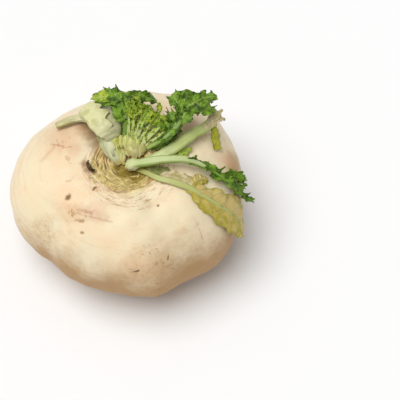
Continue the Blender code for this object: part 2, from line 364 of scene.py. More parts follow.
def skin_material(skin):
    """Cream skin with its blotches, earth tan, freckles, marks, root scar and the threads of the crown."""
    bench = Bench("turnip_skin")
    ramp, noise, attribute = bench.ramp, bench.noise, bench.attribute
    place = bench.millimetres()
    x, y, z = bench.parts(place)
    from_crown = bench.vector("SUBTRACT", place, tuple(value / MM for value in CROWN))
    broad = noise(place, 60, detail=2)
    patchy = noise(place, 15, detail=4, rough=0.6)
    cells = noise(place, 5, rough=0.6)
    fine = noise(place, 1.5)
    scarred, ring, hollow, tanned = [attribute(name) for name in ("scarred", "ring", "hollow", "tanned")]
    # Growth rings run level round the flank, faint and broken.
    level = noise(bench.scaled(place, (0.22, 0.22, 2.0)), 7)
    # The part that lay in the earth is tan, in a ragged band, with freckles and fine brown cracks; the band
    # is also painted shade that darkens the lower rim, most at the front and on the right.
    ragged = tanned + (patchy - 0.5) * 0.45 + (cells - 0.5) * 0.25
    crackle = noise(place, 4.2, detail=6, rough=0.8, warp=0.7)
    speckled = ramp(attribute("freckled") + (patchy - 0.5) * 0.9, 0.2, 0.95)
    # Short level nicks where fine rootlets broke off, scattered over the flanks.
    nicks = noise(bench.scaled(place, (0.30, 0.30, 2.2)), 3.4, detail=2, rough=0.5)
    nicked = ramp(nicks, 0.655, 0.72) * ramp(broad * 0.4 + patchy * 0.6, 0.50, 0.60) * (1 - scarred)
    spoiled = noise(place, 2.6, rough=0.7)
    scratched = marks_on(bench, from_crown, SCRATCHES, spoiled)
    pitted = marks_on(bench, from_crown, PITS, spoiled)
    # Underneath, the scar of the trimmed taproot: a corky ring with cracks that run out from it.
    turn = y.sum("ARCTAN2", y, x)
    rays = noise(bench.combined(X=turn * 2.6, Y=z * 0.03), 1.0, detail=4, rough=0.7)
    rooted = bench.away(place, (0, 0, -2), (0, 0, 2)) + (cells - 0.5) * 4 + (rays - 0.5) * 9
    # The crown: threads that run round it, straw on their crests and dark between them.
    round_it = bench.combined(X=ring * 0.62, Y=x * 0.085, Z=y * 0.085)
    threads = noise(round_it, 1.0, detail=4, rough=0.62)
    finer = noise(bench.scaled(round_it, (2.6, 2.2, 2.2)), 1.0, rough=0.6)
    strand = threads * 0.62 + finer * 0.38
    cover = ramp(scarred + (cells - 0.5) * 0.5 - ramp(ring, 22, 34) * 0.62, 0.25, 0.85)
    straw = bench.layers(
        (0.34, 0.19, 0.05),
        (skin.ring, ramp(strand, 0.44, 0.53)),
        ((0.92, 0.80, 0.42), ramp(strand, 0.54, 0.62) * 0.85),
    )
    stained = ramp(hollow + (cells - 0.5) * 0.5 + (strand - 0.5) * 0.6, 0.15, 0.85)
    broken = ramp(patchy, 0.36, 0.58) * ramp(ring, 20, 27)
    lines = ramp(strand, 0.47, 0.42) * ramp(scarred, 0.08, 0.5) * (1 - broken * 0.6)
    base = bench.layers(
        skin.cream,
        (skin.peach, ramp(broad, 0.45, 0.72) * 0.60),
        (skin.peach, ramp(patchy, 0.54, 0.74) * 0.40),
        ((0.86, 0.76, 0.54), ramp(patchy, 0.48, 0.30) * 0.55),
        ((0.70, 0.60, 0.42), ramp(cells, 0.56, 0.78) * 0.22),
        ((0.74, 0.53, 0.31), ramp(level, 0.54, 0.70) * 0.30),
        # Earth tan, partly painted shade on the lower rim.
        (skin.tan, ramp(ragged, 0.06, 0.80) * 0.95),
        ((0.70, 0.44, 0.26), ramp(attribute("warm") + (cells - 0.5) * 0.6, 0.1, 1.1) * 0.6),
        ((0.60, 0.36, 0.16), speckled * 0.26),
        ((0.36, 0.18, 0.055), ramp(crackle, 0.535, 0.62) * speckled * 0.75),
        ((0.42, 0.26, 0.11), nicked * 0.55),
        (skin.tan, ramp(fine, 0.60, 0.78) * 0.22),
        (skin.rust, scratched),
        ((0.54, 0.33, 0.16), ramp(pitted, 0.0, 0.35) * 0.55),
        (skin.scar, ramp(pitted, 0.25, 0.9) * 0.85),
        # Brown beside the leaf bases and under the leaves: partly stain, partly painted shadow of the hood
        # and the leaves.
        ((0.30, 0.18, 0.075), ramp(attribute("soaked") + (cells - 0.5) * 0.5, 0.1, 1.0) * 0.85),
        ((0.36, 0.22, 0.10), ramp(rooted, 24, 7) * ramp(rays, 0.42, 0.6)),
        (skin.scar, ramp(rooted, 9.5, 8) * 0.85),
        ((0.60, 0.44, 0.23), ramp(rooted, 6.5, 5) * 0.85),
        (straw, cover * ramp(patchy * 0.5 + strand * 0.5, 0.30, 0.52) * 0.9),
        (skin.rust, ramp(finer, 0.50, 0.62) * attribute("healed") * 0.65),
        (skin.olive, stained * 0.85),
        # Painted shade in the middle of the crown's hollow, darkening its stain, broken by the threads.
        ((0.11, 0.058, 0.008), ramp(hollow + (strand - 0.5) * 2.2, 0.80, 1.15) * 0.75),
        (bench.mix(skin.scar, (0.46, 0.25, 0.09), ramp(ring, 21, 29)), lines * 0.85),
        # Painted shade in the gaps under the crown rings' lips.
        (skin.scar, ramp(attribute("gaps") + (finer - 0.5) * 0.8, 0.35, 0.9) * 0.85),
        (skin.rust, attribute("crease") * 0.45),
    )
    relief = ramp(rooted, 9.5, 7) * 0.5 + patchy * 0.25 + cells * 0.15 + fine * 0.08
    relief = relief - pitted * 0.6 - nicked * 0.3
    ridges = ramp(strand, 0.36, 0.62) * ramp(scarred, 0.05, 0.5) * (1.1 - ramp(ring, 21, 30) * 0.8)
    normal = bench.bump(relief + ridges, 0.9 * MM, 0.75)
    rough = 0.44 + cover * 0.25 + ramp(patchy, 0.4, 0.8) * 0.12 + tanned * 0.1
    return bench.finish(
        base, rough, normal,
        Subsurface_Weight=0.12, Subsurface_Radius=(1.0, 0.55, 0.28), Subsurface_Scale=3 * MM,
        Specular_IOR_Level=0.35,
    )


def toned(shade, factor):
    """A shade made lighter or darker."""
    return tuple(min(1, channel * factor) for channel in shade)


def stalk_material(name, fresh, pale, end, rough=0.38, end_from=0.93, pale_to=0.25, top_highlight=0.5, tint=None,
                   foot=None):
    """Stalk flesh: pale at the base, streaked along its length, dried at a cut end, with a painted highlight
    along its upper side.
    """
    bench = Bench(name)
    ramp = bench.ramp
    place = bench.millimetres()
    across, along = bench.map_parts()
    streak = bench.noise(bench.combined(X=across * 26, Y=along * 3.0), 1.0, detail=2)
    blotch = bench.noise(place, 6)
    # Painted highlight: the upper side, that faces the light, is painted paler.
    upper = (across * (2 * math.pi)).sum("SINE", across * (2 * math.pi))
    light = tint or tuple(min(1, 0.35 * a + 0.75 * b + 0.08) for a, b in zip(fresh, pale))
    dried = ramp(along + (blotch - 0.5) * 0.06, end_from, end_from + 0.05)
    coats = [
        (fresh, ramp(along + (blotch - 0.5) * 0.3, pale_to * 0.3, pale_to * 1.6)),
        (toned(fresh, 0.62), ramp(streak, 0.50, 0.66) * 0.75),
        (toned(pale, 1.25), ramp(streak, 0.47, 0.32) * 0.5),
        (light, ramp(upper + (streak - 0.5) * 0.8, 0.1, 1.1) * top_highlight),
    ]
    if foot:
        coats.append((foot, ramp(along + (blotch - 0.5) * 0.15, 0.16, 0.02) * 0.9))
    base = bench.layers(pale, *coats, (end, dried * 0.85))
    return bench.finish(
        base, rough + dried * 0.3, bench.bump(streak * 0.7 + blotch * 0.3, 0.4 * MM, 0.7),
        Subsurface_Weight=0.25, Subsurface_Radius=(0.8, 1.0, 0.3), Subsurface_Scale=2 * MM,
        Specular_IOR_Level=0.45,
    )


def blade_material(name, deep, lit, rib, veins=9.0, rib_width=0.07, rough=0.45, thin=0.1, margin=None,
                   papery=None):
    """Leaf blade: a pale midrib, side veins that slant forward, and blotchy flesh between them."""
    bench = Bench(name)
    ramp = bench.ramp
    place = bench.millimetres()
    across, along = bench.map_parts()
    out = abs(across - 0.5) * 2
    blotch = bench.noise(place, 5)
    grain = bench.noise(place, 1.4, detail=4, rough=0.65)
    # Side veins: narrow bands where along minus a share of out passes a whole number.
    phase = (along - out * 0.16) * veins
    fraction = phase.sum("FRACT", phase + (blotch - 0.5) * 0.5)
    vein = ramp(abs(fraction - 0.5), 0.12, 0.02) * ramp(out, 1.0, 0.55)
    net = bench.node(
        "ShaderNodeTexVoronoi", {"feature": "DISTANCE_TO_EDGE"}, output="Distance",
        Vector=place, Scale=0.55,
    )
    cell = ramp(net, 0.10, 0.02)
    midrib = ramp(out, rib_width * 1.6, rib_width * 0.7)
    coats = [(lit, ramp(blotch * 0.65 + grain * 0.35, 0.40, 0.60))]
    if papery:
        coats.append((papery, ramp(across + (blotch - 0.5) * 0.5, 0.60, 0.30) * 0.8))
    coats += [(rib, vein * 0.55), (rib, cell * 0.18)]
    if margin:
        coats.append((margin, ramp(out + (blotch - 0.5) * 0.5, 0.72, 1.0) * 0.7))
    base = bench.layers(deep, *coats, (rib, midrib * 0.95))
    relief = midrib * 0.8 + vein * 0.5 + cell * 0.2 + grain * 0.3
    return bench.finish(
        base, rough + grain * 0.15, bench.bump(relief, 0.5 * MM, 0.8),
        Subsurface_Weight=thin, Subsurface_Radius=(0.6, 1.0, 0.2), Subsurface_Scale=0.6 * MM,
        Specular_IOR_Level=0.3,
    )


def sheath_material(name, gain=1.0, torn=False):
    """Smooth grey-green flesh with faint veins, browned in places and darker low down. Its colour is scaled
    all over to paint a lit copy and a shaded copy of one sheath.
    """
    leaf = bpy.context.scene.turnip_leaf
    bench = Bench(name)
    ramp = bench.ramp
    place = bench.millimetres()
    across, along = bench.map_parts()
    vein = bench.noise(bench.combined(X=across * 15, Y=along * 1.6), 1.0, detail=2)
    blotch = bench.noise(place, 9, detail=4, rough=0.6)
    speck = bench.noise(place, 1.8)
    coats = [
        (leaf.stalk_pale, ramp(blotch, 0.50, 0.70) * 0.6),
        ((0.40, 0.40, 0.13), ramp(blotch, 0.50, 0.34) * 0.5),
        ((0.45, 0.47, 0.18), ramp(vein, 0.54, 0.66) * 0.35),
        ((0.34, 0.30, 0.10), ramp(abs(across - 0.5) + (blotch - 0.5) * 0.2, 0.40, 0.50) * 0.6),
        ((0.36, 0.27, 0.10), ramp(speck, 0.64, 0.74) * 0.35),
        ((0.66, 0.66, 0.42), ramp(along + (blotch - 0.5) * 0.2, 0.34, 0.16) * 0.35),
    ]
    # The torn edge is browned, and its dark line also stands for painted shadow of the crack under the flap.
    if torn:
        coats.append(((0.17, 0.10, 0.03), ramp(across + (speck - 0.5) * 0.03, 0.952, 0.985) * 0.85))
    return bench.finish(
        bench.layers(toned(leaf.sheath, gain), *coats), 0.42 + blotch * 0.1,
        bench.bump(vein * 0.6 + blotch * 0.5 + speck * 0.15, 0.4 * MM, 0.6),
        Subsurface_Weight=0.12, Subsurface_Radius=(0.8, 1.0, 0.4), Subsurface_Scale=1.5 * MM,
        Specular_IOR_Level=0.35,
    )


def dry_material(name, dark, straw):
    """Dry brown or straw fibres that run along the piece."""
    bench = Bench(name)
    place = bench.millimetres()
    across, along = bench.map_parts()
    fibre = bench.noise(bench.combined(X=across * 6, Y=along * 22), 1.0)
    blotch = bench.noise(place, 3.5, detail=4, rough=0.7)
    base = bench.mix(dark, straw, bench.ramp(fibre * 0.5 + blotch * 0.5, 0.40, 0.62))
    normal = bench.bump(fibre * 0.6 + blotch * 0.4, 0.5 * MM, 0.9)
    return bench.finish(base, 0.75 - blotch * 0.1, normal, Specular_IOR_Level=0.2)


# Leaf finishes: how each is made, its colours, and what else sets it apart. A word is a settings colour.
FINISHES = {
    "leaf_rib": (
        stalk_material, ((0.34, 0.46, 0.08), (0.60, 0.60, 0.26), "mid_green"),
        {"end_from": 0.62, "pale_to": 0.3, "top_highlight": 0.45, "tint": (0.54, 0.64, 0.22)},
    ),
    "back_leaf_rib": (
        stalk_material, ((0.15, 0.27, 0.025), (0.36, 0.44, 0.10), "mid_green"),
        {"end_from": 0.6, "pale_to": 0.2, "top_highlight": 0.25, "tint": (0.30, 0.44, 0.09)},
    ),
    "shoot_flesh": (
        stalk_material, ((0.44, 0.48, 0.09), (0.66, 0.56, 0.25), "stalk"),
        {"end_from": 2.0, "pale_to": 0.55},
    ),
    "neck_flesh": (
        stalk_material, ((0.40, 0.42, 0.13), (0.60, 0.60, 0.38), (0.36, 0.34, 0.12)),
        {"end_from": 0.75, "pale_to": 0.9, "tint": (0.60, 0.60, 0.33), "foot": (0.42, 0.32, 0.08)},
    ),
    "inner_layer": (
        stalk_material, ((0.46, 0.46, 0.06), (0.62, 0.60, 0.22), (0.30, 0.40, 0.06)),
        {"end_from": 0.8, "pale_to": 0.5, "tint": (0.60, 0.62, 0.24), "foot": (0.40, 0.30, 0.06)},
    ),
    "cut_stalk_left": (
        stalk_material, ((0.42, 0.38, 0.13), (0.70, 0.66, 0.38), (0.50, 0.42, 0.20)), {"pale_to": 0.5},
    ),
    "cut_stalk_right": (
        stalk_material, ((0.36, 0.44, 0.08), (0.58, 0.62, 0.27), (0.62, 0.54, 0.30)),
        {"end_from": 0.80, "pale_to": 0.3, "top_highlight": 0.55},
    ),
    "front_stalk": (
        stalk_material, ((0.19, 0.30, 0.025), "blush", "mid_green"),
        {"end_from": 0.54, "pale_to": 0.06, "top_highlight": 0.85, "tint": (0.60, 0.67, 0.32)},
    ),
    "limp_stalk": (
        stalk_material, ((0.40, 0.38, 0.08), (0.44, 0.45, 0.13), "wilted"),
        {"end_from": 2.0, "pale_to": 0.5, "rough": 0.32, "top_highlight": 0.6, "tint": (0.56, 0.60, 0.24),
         "foot": (0.30, 0.24, 0.05)},
    ),
    "striped_scrap": (
        stalk_material, ((0.22, 0.24, 0.05), (0.42, 0.42, 0.18), (0.3, 0.24, 0.08)),
        {"end_from": 0.9, "pale_to": 0.2, "top_highlight": 0.1},
    ),
    "grown_leaf_green": (blade_material, ("dark_green", "mid_green", (0.30, 0.44, 0.08)), {"veins": 7}),
    "heart_leaf_green": (blade_material, ("young_green", "lime", "rib"), {"veins": 5, "rib_width": 0.12}),
    "front_leaf_green": (
        blade_material, ("dark_green", "mid_green", "mid_green"),
        {"veins": 12, "rib_width": 0.04, "margin": "young_green"},
    ),
    "strap_yellow": (
        blade_material, ((0.26, 0.28, 0.008), (0.50, 0.47, 0.022), (0.54, 0.52, 0.08)),
        {"veins": 4, "rib_width": 0.05, "margin": (0.20, 0.22, 0.01)},
    ),
    "torn_straw": (
        blade_material, ((0.44, 0.36, 0.14), (0.70, 0.60, 0.36), (0.60, 0.52, 0.30)),
        {"veins": 3, "rib_width": 0.04},
    ),
    "dried_film": (
        blade_material, ((0.46, 0.38, 0.14), (0.72, 0.60, 0.38), (0.52, 0.46, 0.20)),
        {"veins": 5, "rib_width": 0.03, "rough": 0.4},
    ),
    "wilted_leaf_yellow": (
        blade_material, ("wilted", "wilted_pale", (0.40, 0.38, 0.10)),
        {"veins": 6, "rib_width": 0.05, "rough": 0.33, "thin": 0.15, "margin": (0.34, 0.31, 0.015),
         "papery": (0.66, 0.50, 0.20)},
    ),
    # Painted shade on the dome under the flap, painted light on the flap: darker and lighter copies of one
    # sheath.
    "sheath_flesh": (sheath_material, (), {"gain": 0.90}),
    "torn_sheath": (sheath_material, (), {"gain": 1.28, "torn": True}),
    # The scales' darkness is partly painted shade of the hollows where they lie.
    "dry_scale_brown": (dry_material, ("dry", (0.17, 0.10, 0.04)), {}),
}


def finish_of(name):
    """The material of this name, made from its row when it is first asked for."""
    if name in bpy.data.materials:
        return bpy.data.materials[name]
    leaf = bpy.context.scene.turnip_leaf
    maker, shades, options = FINISHES[name]
    known = leaf.__annotations__
    shades = [getattr(leaf, shade) if isinstance(shade, str) else shade for shade in shades]
    options = {key: getattr(leaf, value) if value in known else value for key, value in options.items()}
    return maker(name, *shades, **options)


def floor_material(shade):
    """Matt pale floor, with the faintest unevenness."""
    bench = Bench("pale_floor")
    place = bench.millimetres()
    speck = bench.noise(place, 80, detail=2)
    base = bench.mix(shade, tuple(c * 0.985 for c in shade), speck)
    return bench.finish(base, 0.8, Specular_IOR_Level=0.1)


# ---------------------------------------------------------------- shaping


def pick(*pieces):
    """Leaves edit mode and selects only these pieces, the first one active."""
    if bpy.context.mode != "OBJECT":
        bpy.ops.object.mode_set(mode="OBJECT")
    bpy.ops.object.select_all(action="DESELECT")
    for piece in pieces:
        piece.select_set(True)
        bpy.context.view_layer.objects.active = pieces[0]


def edit(piece):
    """Opens the piece in edit mode, all of it selected."""
    pick(piece)
    bpy.ops.object.mode_set(mode="EDIT")
    bpy.ops.mesh.select_all(action="SELECT")


def points_of(piece):
    """The piece's points as rows of x, y and z."""
    flat = np.empty(len(piece.data.vertices) * 3)
    piece.data.vertices.foreach_get("co", flat)
    return flat.reshape(-1, 3)


def put_points(piece, points):
    piece.data.vertices.foreach_set("co", np.ascontiguousarray(points, np.float32).ravel())
    piece.data.update()


def smooth_path(route, count):
    """Points at even steps along the smooth curve (Catmull-Rom) through a route in mm from the crown."""
    knots = np.array(route, float) * MM + np.array(CROWN)
    padded = np.vstack((2 * knots[0] - knots[1], knots, 2 * knots[-1] - knots[-2]))
    fine = []
    for place in np.linspace(0, len(knots) - 1, 12 * count):
        index = min(int(place), len(knots) - 2)
        t = place - index
        a, b, c, d = padded[index : index + 4]
        fine.append(0.5 * (2 * b + (c - a) * t + (2 * a - 5 * b + 4 * c - d) * t**2
                           + (3 * b - a - 3 * c + d) * t**3))
    fine = np.array(fine)
    run = np.concatenate(([0], np.cumsum(np.linalg.norm(np.diff(fine, axis=0), axis=1))))
    even = np.linspace(0, run[-1], count)
    return np.stack([np.interp(even, run, fine[:, axis]) for axis in range(3)], axis=1)


def unit(rows):
    """The rows, each made one long."""
    return rows / np.maximum(np.linalg.norm(rows, axis=1, keepdims=True), 1e-12)


def directions(path, face=None):
    """Along, side and up at each point of the path.

    face is where the upper side looks, or None for off the root."""
    along = unit(np.gradient(path, axis=0))
    if face is None:
        middle = np.array((CROWN.x, CROWN.y, ROOT_CENTRE.z - 18 * MM))
        towards = path - middle
    else:
        towards = np.tile(np.array(face, float), (len(path), 1))
    side = unit(np.cross(along, towards))
    return along, side, np.cross(side, along)


def stops_at(stops, share):
    """Values at these shares of the length, eased between stops: (share, value), or values at even steps."""
    if not isinstance(stops[0], tuple):
        stops = [(index / (len(stops) - 1), value) for index, value in enumerate(stops)]
    places, values = np.array(stops, float).T
    index = np.clip(np.searchsorted(places, share, side="right") - 1, 0, len(places) - 2)
    t = np.clip((share - places[index]) / (places[index + 1] - places[index]), 0, 1)
    t = t * t * (3 - 2 * t)
    return values[index] * (1 - t) + values[index + 1] * t


def wobble(points, size, seed):
    """Smooth unevenness of about -1 to 1 with humps of this size: a few crossed waves, the same each run."""
    rng = np.random.default_rng(seed)
    total = np.zeros(len(points))
    for _ in range(CROSSED_WAVES):
        heading = rng.normal(size=3)
        heading *= 2 * math.pi / size * rng.uniform(0.6, 1.5) / np.linalg.norm(heading)
        total += np.sin(points @ heading + rng.uniform(0, 2 * math.pi))
    return total / math.sqrt(CROSSED_WAVES)


def shaped_grid(name, columns, rows, place):
    """A grid primitive moved to place(across, along), both 0 to 1. It keeps the grid's UV map."""
    pick()
    bpy.ops.mesh.primitive_grid_add(x_subdivisions=columns, y_subdivisions=rows, size=1)
    piece = bpy.context.object
    piece.name = piece.data.name = name
    flat = points_of(piece)
    put_points(piece, place(flat[:, 0] + 0.5, flat[:, 1] + 0.5))
    return piece


def apply(piece, kind, **settings):
    """Adds a modifier and applies it."""
    pick(piece)
    modifier = piece.modifiers.new(kind.title(), kind)
    for key, value in settings.items():
        setattr(modifier, key, value)
    bpy.ops.object.modifier_apply(modifier=modifier.name)


def outward(piece):
    """Faces point out, checked on the closed piece."""
    edit(piece)
    bpy.ops.mesh.normals_make_consistent(inside=False)
    bpy.ops.object.mode_set(mode="OBJECT")
    bpy.ops.object.shade_smooth_by_angle(angle=SMOOTH_UNDER)


def joined(name, pieces):
    """One object from several, keeping the name."""
    pick(*pieces)
    bpy.ops.object.join()
    pieces[0].name = pieces[0].data.name = name
    return pieces[0]


def stalk(name, route, widths, depths, groove=0.0, sides=24, rows=48, seed=1, uneven=0.03,
          end_cup=0.0):
    """A stalk: a grid rolled round the route and closed, with a groove along its upper side.

    widths and depths are (share, mm) stops. end_cup sinks the middle of the cut end, in mm."""
    path = smooth_path(route, rows + 1)
    along, side, up = directions(path)

    def place(across, share):
        row = np.rint(share * rows).astype(int)
        angle = 2 * math.pi * across
        half_width = stops_at(widths, share) * MM / 2
        half_depth = stops_at(depths, share) * MM / 2
        spot = np.cos(angle)[:, None] * side[row] * half_width[:, None]
        rise = np.sin(angle)
        rise = rise - groove * np.exp(-((np.cos(angle) / 0.45) ** 2)) * (rise > 0)
        rise = rise + 0.06 * np.cos(9 * angle)
        spot = spot + up[row] * (rise * half_depth)[:, None]
        bulge = 1 + uneven * wobble(path[row] + spot, 7 * MM, seed)
        return path[row] + spot * bulge[:, None]

    piece = shaped_grid(name, sides, rows, place)
    close_tube(piece, path[-1] - along[-1] * end_cup * MM)
    return piece


def close_tube(piece, end_middle):
    """Merges the seam and caps both ends, the far one sunk to its middle point."""
    edit(piece)
    bpy.ops.mesh.remove_doubles(threshold=WELD)
    bpy.ops.mesh.select_mode(type="EDGE")
    bpy.ops.mesh.select_all(action="DESELECT")
    bpy.ops.mesh.select_non_manifold(extend=False, use_wire=False, use_multi_face=False,
                                     use_non_contiguous=False, use_verts=False)
    bpy.ops.mesh.fill_holes(sides=0)
    bpy.ops.mesh.select_mode(type="FACE")
    bpy.ops.mesh.select_all(action="DESELECT")
    work = bmesh.from_edit_mesh(piece.data)
    caps = [face for face in work.faces if len(face.verts) > 4]
    for cap in caps:
        cap.select = True
    bmesh.update_edit_mesh(piece.data)
    bpy.ops.mesh.inset(thickness=CAP_RIM, depth=0)
    bpy.ops.mesh.poke()
    bpy.ops.object.mode_set(mode="OBJECT")
    points = points_of(piece)
    points[np.argmin(np.linalg.norm(points - end_middle, axis=1))] = end_middle
    put_points(piece, points)


def blade(name, route, widths, face=None, cup=0.0, ruffle=0.0, waves=4.0, frill=0.0, crumple=0.0, teeth=0,
          bite=0.0, lobes=0, lobing=0.0, columns=18, rows=60, seed=1, thickness=None, lean=0.0, fold=7.0):
    """A leaf blade on a route. widths are (share, mm) stops; cup, ruffle, frill, crumple and fold are in mm.

    ruffle waves the margins and frill curls them finely, teeth bite into them and lobes scallop them.
    crumple raises folds of the size of fold all over, and lean tips the blade sideways."""
    path = smooth_path(route, rows + 1)
    along, side, up = directions(path, face)
    rng = np.random.default_rng(seed)
    phases = rng.uniform(0, 2 * math.pi, 6)

    def place(across, share):
        row = np.rint(share * rows).astype(int)
        out = 2 * across - 1
        reach = np.abs(out)
        right = (out > 0).astype(float)
        half = stops_at(widths, share) * MM / 2
        scallop = 1 - lobing * (0.5 + 0.5 * np.cos(2 * math.pi * lobes * share + phases[0] + right * 2.1))
        tooth = (share * teeth + right * 0.37 + 0.2 * np.sin(9 * share + phases[1])) % 1
        tooth = np.abs(tooth - 0.35) * 1.5
        nibble = 1 - bite * tooth * np.clip(reach * 3 - 2, 0, 1)
        spread = out * half * (1 + (scallop - 1) * reach) * nibble
        run = 2 * math.pi * waves * share
        wave = np.sin(run + phases[2] + right * (1.5 + phases[3]))
        wave = wave + 0.45 * np.sin(2.3 * run + phases[1] - right * 2)
        curl = np.sin(4.3 * run + phases[4] + right * 3) + 0.6 * np.sin(6.7 * run + phases[5] - right)
        rise = lean * out - cup * reach**2 + ruffle * wave * reach**1.5 + frill * curl * reach**3
        spot = path[row] + side[row] * spread[:, None]
        rise = rise * MM + crumple * MM * wobble(spot, fold * MM, seed + 5) * (0.35 + 0.65 * reach)
        back = ruffle * np.cos(run + phases[0]) * reach**2 + frill * np.cos(4.3 * run + phases[4]) * reach**3
        drift = wobble(spot, 5 * MM, seed + 9) * crumple * 0.7 * reach
        slide = along[row] * back[:, None] * 0.6 + side[row] * drift[:, None]
        return spot + up[row] * rise[:, None] + slide * MM

    piece = shaped_grid(name, columns, rows, place)
    leaf = bpy.context.scene.turnip_leaf
    apply(piece, "SOLIDIFY", thickness=thickness or leaf.thickness, offset=0.0)
    return piece


def shell(name, route, widths, edges, height, lift=0.0, columns=30, rows=70, seed=1, thickness=0.9):
    """A domed leaf base. edges(share) gives how far it reaches to each side, from -1 to 1 of its width.

    height is how far the dome stands over its sides, and lift how far the whole shell lies off it, in mm."""
    path = smooth_path(route, rows + 1)
    along, side, up = directions(path, (0.2, 0.15, 1.0))

    def place(across, share):
        row = np.rint(share * rows).astype(int)
        low, high = edges(share)
        out = low + (high - low) * across
        half = stops_at(widths, share) * MM / 2
        dome = stops_at(height, share)
        rise = dome * (1 - np.abs(out) ** 2.2) - 2.2 * dome * np.clip(out - 0.62, 0, 1) ** 1.5
        rise = rise + 0.14 * dome * np.clip(-out - 0.55, 0, 1) + lift
        spot = path[row] + side[row] * (half * out * (1 - 0.10 * out**2))[:, None]
        rise = rise * MM + 0.35 * MM * wobble(spot, 12 * MM, seed)
        rise = rise + 0.10 * MM * wobble(spot, 3 * MM, seed + 1)
        return spot + up[row] * rise[:, None]

    piece = shaped_grid(name, columns, rows, place)
    apply(piece, "SOLIDIFY", thickness=thickness * MM, offset=0.0)
    apply(piece, "BEVEL", width=SHELL_EDGE, segments=2, limit_method="ANGLE", angle_limit=math.radians(60))
    return piece


def keep_off(piece, ground, clearance):
    """Moves the points that would be inside or too near the root out to the clearance."""
    points = points_of(piece)
    for index, point in enumerate(points):
        spot, normal, _, _ = ground.find_nearest(Vector(point))
        gap = (Vector(point) - spot).dot(normal)
        if gap < clearance:
            points[index] = Vector(point) + normal * (clearance - gap)
    put_points(piece, points)


def hand_over(piece, finish, node, ground=None):
    """The last steps of every piece: off the root, faces out, finish, and its place in the frame."""
    material = finish_of(finish) if isinstance(finish, str) else finish
    if ground is not None:
        keep_off(piece, ground, bpy.context.scene.turnip_leaf.clearance)
    outward(piece)
    piece.data.materials.clear()
    piece.data.materials.append(material)
    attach(piece, "root")
    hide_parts(node)


def root_ground():
    """A search tree over the finished root."""
    return tree_of(bpy.data.objects["turnip_root"])


# ---------------------------------------------------------------- root


def blob(x, y, spots):
    """How far inside soft round spots the points are, 0 to 1. Each spot is (right, back, radius) in mm."""
    total = np.zeros_like(x)
    for right, front, radius in spots:
        total = np.maximum(total, np.exp(-(((x - right) ** 2 + (y - front) ** 2) / radius**2)))
    return total


# Round spots of colour on the upper skin, by the share that they raise: (right, back, radius) in mm.
SPOTS = {
    "hollow": ((2, -12, 10), (9, -14, 10), (-5, 2, 6), (14, -8, 9), (0, 14, 14), (-4, -7, 6)),
    "healed": ((-14, 2, 6), (-7, -33, 7), (31, -24, 8), (4, -39, 5), (-18, -26, 8), (-26, -20, 5)),
    "warm": ((-48, 22, 22), (-34, 26, 14), (-38, 8, 9), (-18, -46, 10), (50, 30, 12), (77, 8, 9)),
    # Spots of painted shadow beside the leaf bases and under the leaves, with some real stain.
    "soaked": (
        (-26, 30, 12), (-23, 20, 10), (-20, 12, 8), (-17, 5, 7), (-15, -1, 5), (-28, -6, 4), (-26, -11, 3.5),
        (24, -16, 5), (22, 4, 9), (6, 34, 12), (34, 16, 8),
    ),
}
# Radii of the crown's rings in mm.
RINGS = (11.5, 14, 16.6, 19, 21.6, 24, 26.8, 29.6, 32.8, 36.5)
# Creases of the shoulder: two ends (right, back), width in mm and depth in mm.
CREASES = (
    ((53, -44), (57, -52), 1.2, 0.5), ((57, -52), (62, -62), 1.2, 0.6), ((-42, -47), (-8, -54), 2.2, 0.5),
    ((12, -38), (30, -40), 1.6, 0.45), ((-30, -8), (-27, 0), 2.0, 0.9), ((-26, -14), (-21, -16), 1.4, 0.6),
    ((-58, 14), (-44, 8), 1.8, 0.35), ((-52, 18), (-48, 2), 1.4, 0.35), ((38, -60), (20, -66), 3.0, 0.5),
    ((58, 46), (72, 30), 1.6, 0.4), ((-10, 60), (-30, 58), 1.8, 0.5),
)


def crown_shape(points, skin):
    """Height of the torn crown rings in metres, and the shares of each colour that the skin shows there."""
    x, y = (points[:, 0] - CROWN.x) / MM, (points[:, 1] - CROWN.y) / MM
    across, front = x - RING_MIDDLE[0], y - RING_MIDDLE[1]
    turn = np.arctan2(front, across)
    flat = np.stack([x, y, np.zeros_like(x)], axis=1)
    warped = np.hypot(across, front) + 1.5 * wobble(flat, 30, 3) + 0.38 * wobble(flat, 13, 4)
    facing = 0.5 - 0.5 * np.sin(turn + 0.1)
    limit = skin.crown_radius / MM * (0.62 + 0.42 * facing)
    above = (points[:, 2] > ROOT_CENTRE.z).astype(float)
    inside = above / (1 + np.exp((warped - limit) / 2.6))
    height = np.zeros_like(x)
    gaps = np.zeros_like(x)
    for index, radius in enumerate(RINGS):
        away = warped - radius * (0.84 + 0.16 * facing)
        broken = np.clip(0.25 + 0.8 * wobble(flat + 40 * index, 17, 11 + index), 0, 1)
        lip = np.exp(-(np.where(away > 0, away / 1.1, away / 0.45) ** 2))
        height = np.maximum(height, lip * broken * (1.15 - radius / 60))
        # Painted shade just under each ring's lip, later weighted towards the front.
        under = np.exp(-(((away + 0.9) / 0.45) ** 2))
        gaps = np.maximum(gaps, under * np.clip(broken * 1.3 - 0.35, 0, 1))
    rise = (height + 0.12 * wobble(flat, 5, 8)) * skin.ring_height * inside
    shares = {"ring": warped, "scarred": inside, "gaps": gaps * inside * (0.35 + 0.65 * facing)}
    for name, spots in SPOTS.items():
        shares[name] = blob(x, y, spots) * above
    return rise, shares


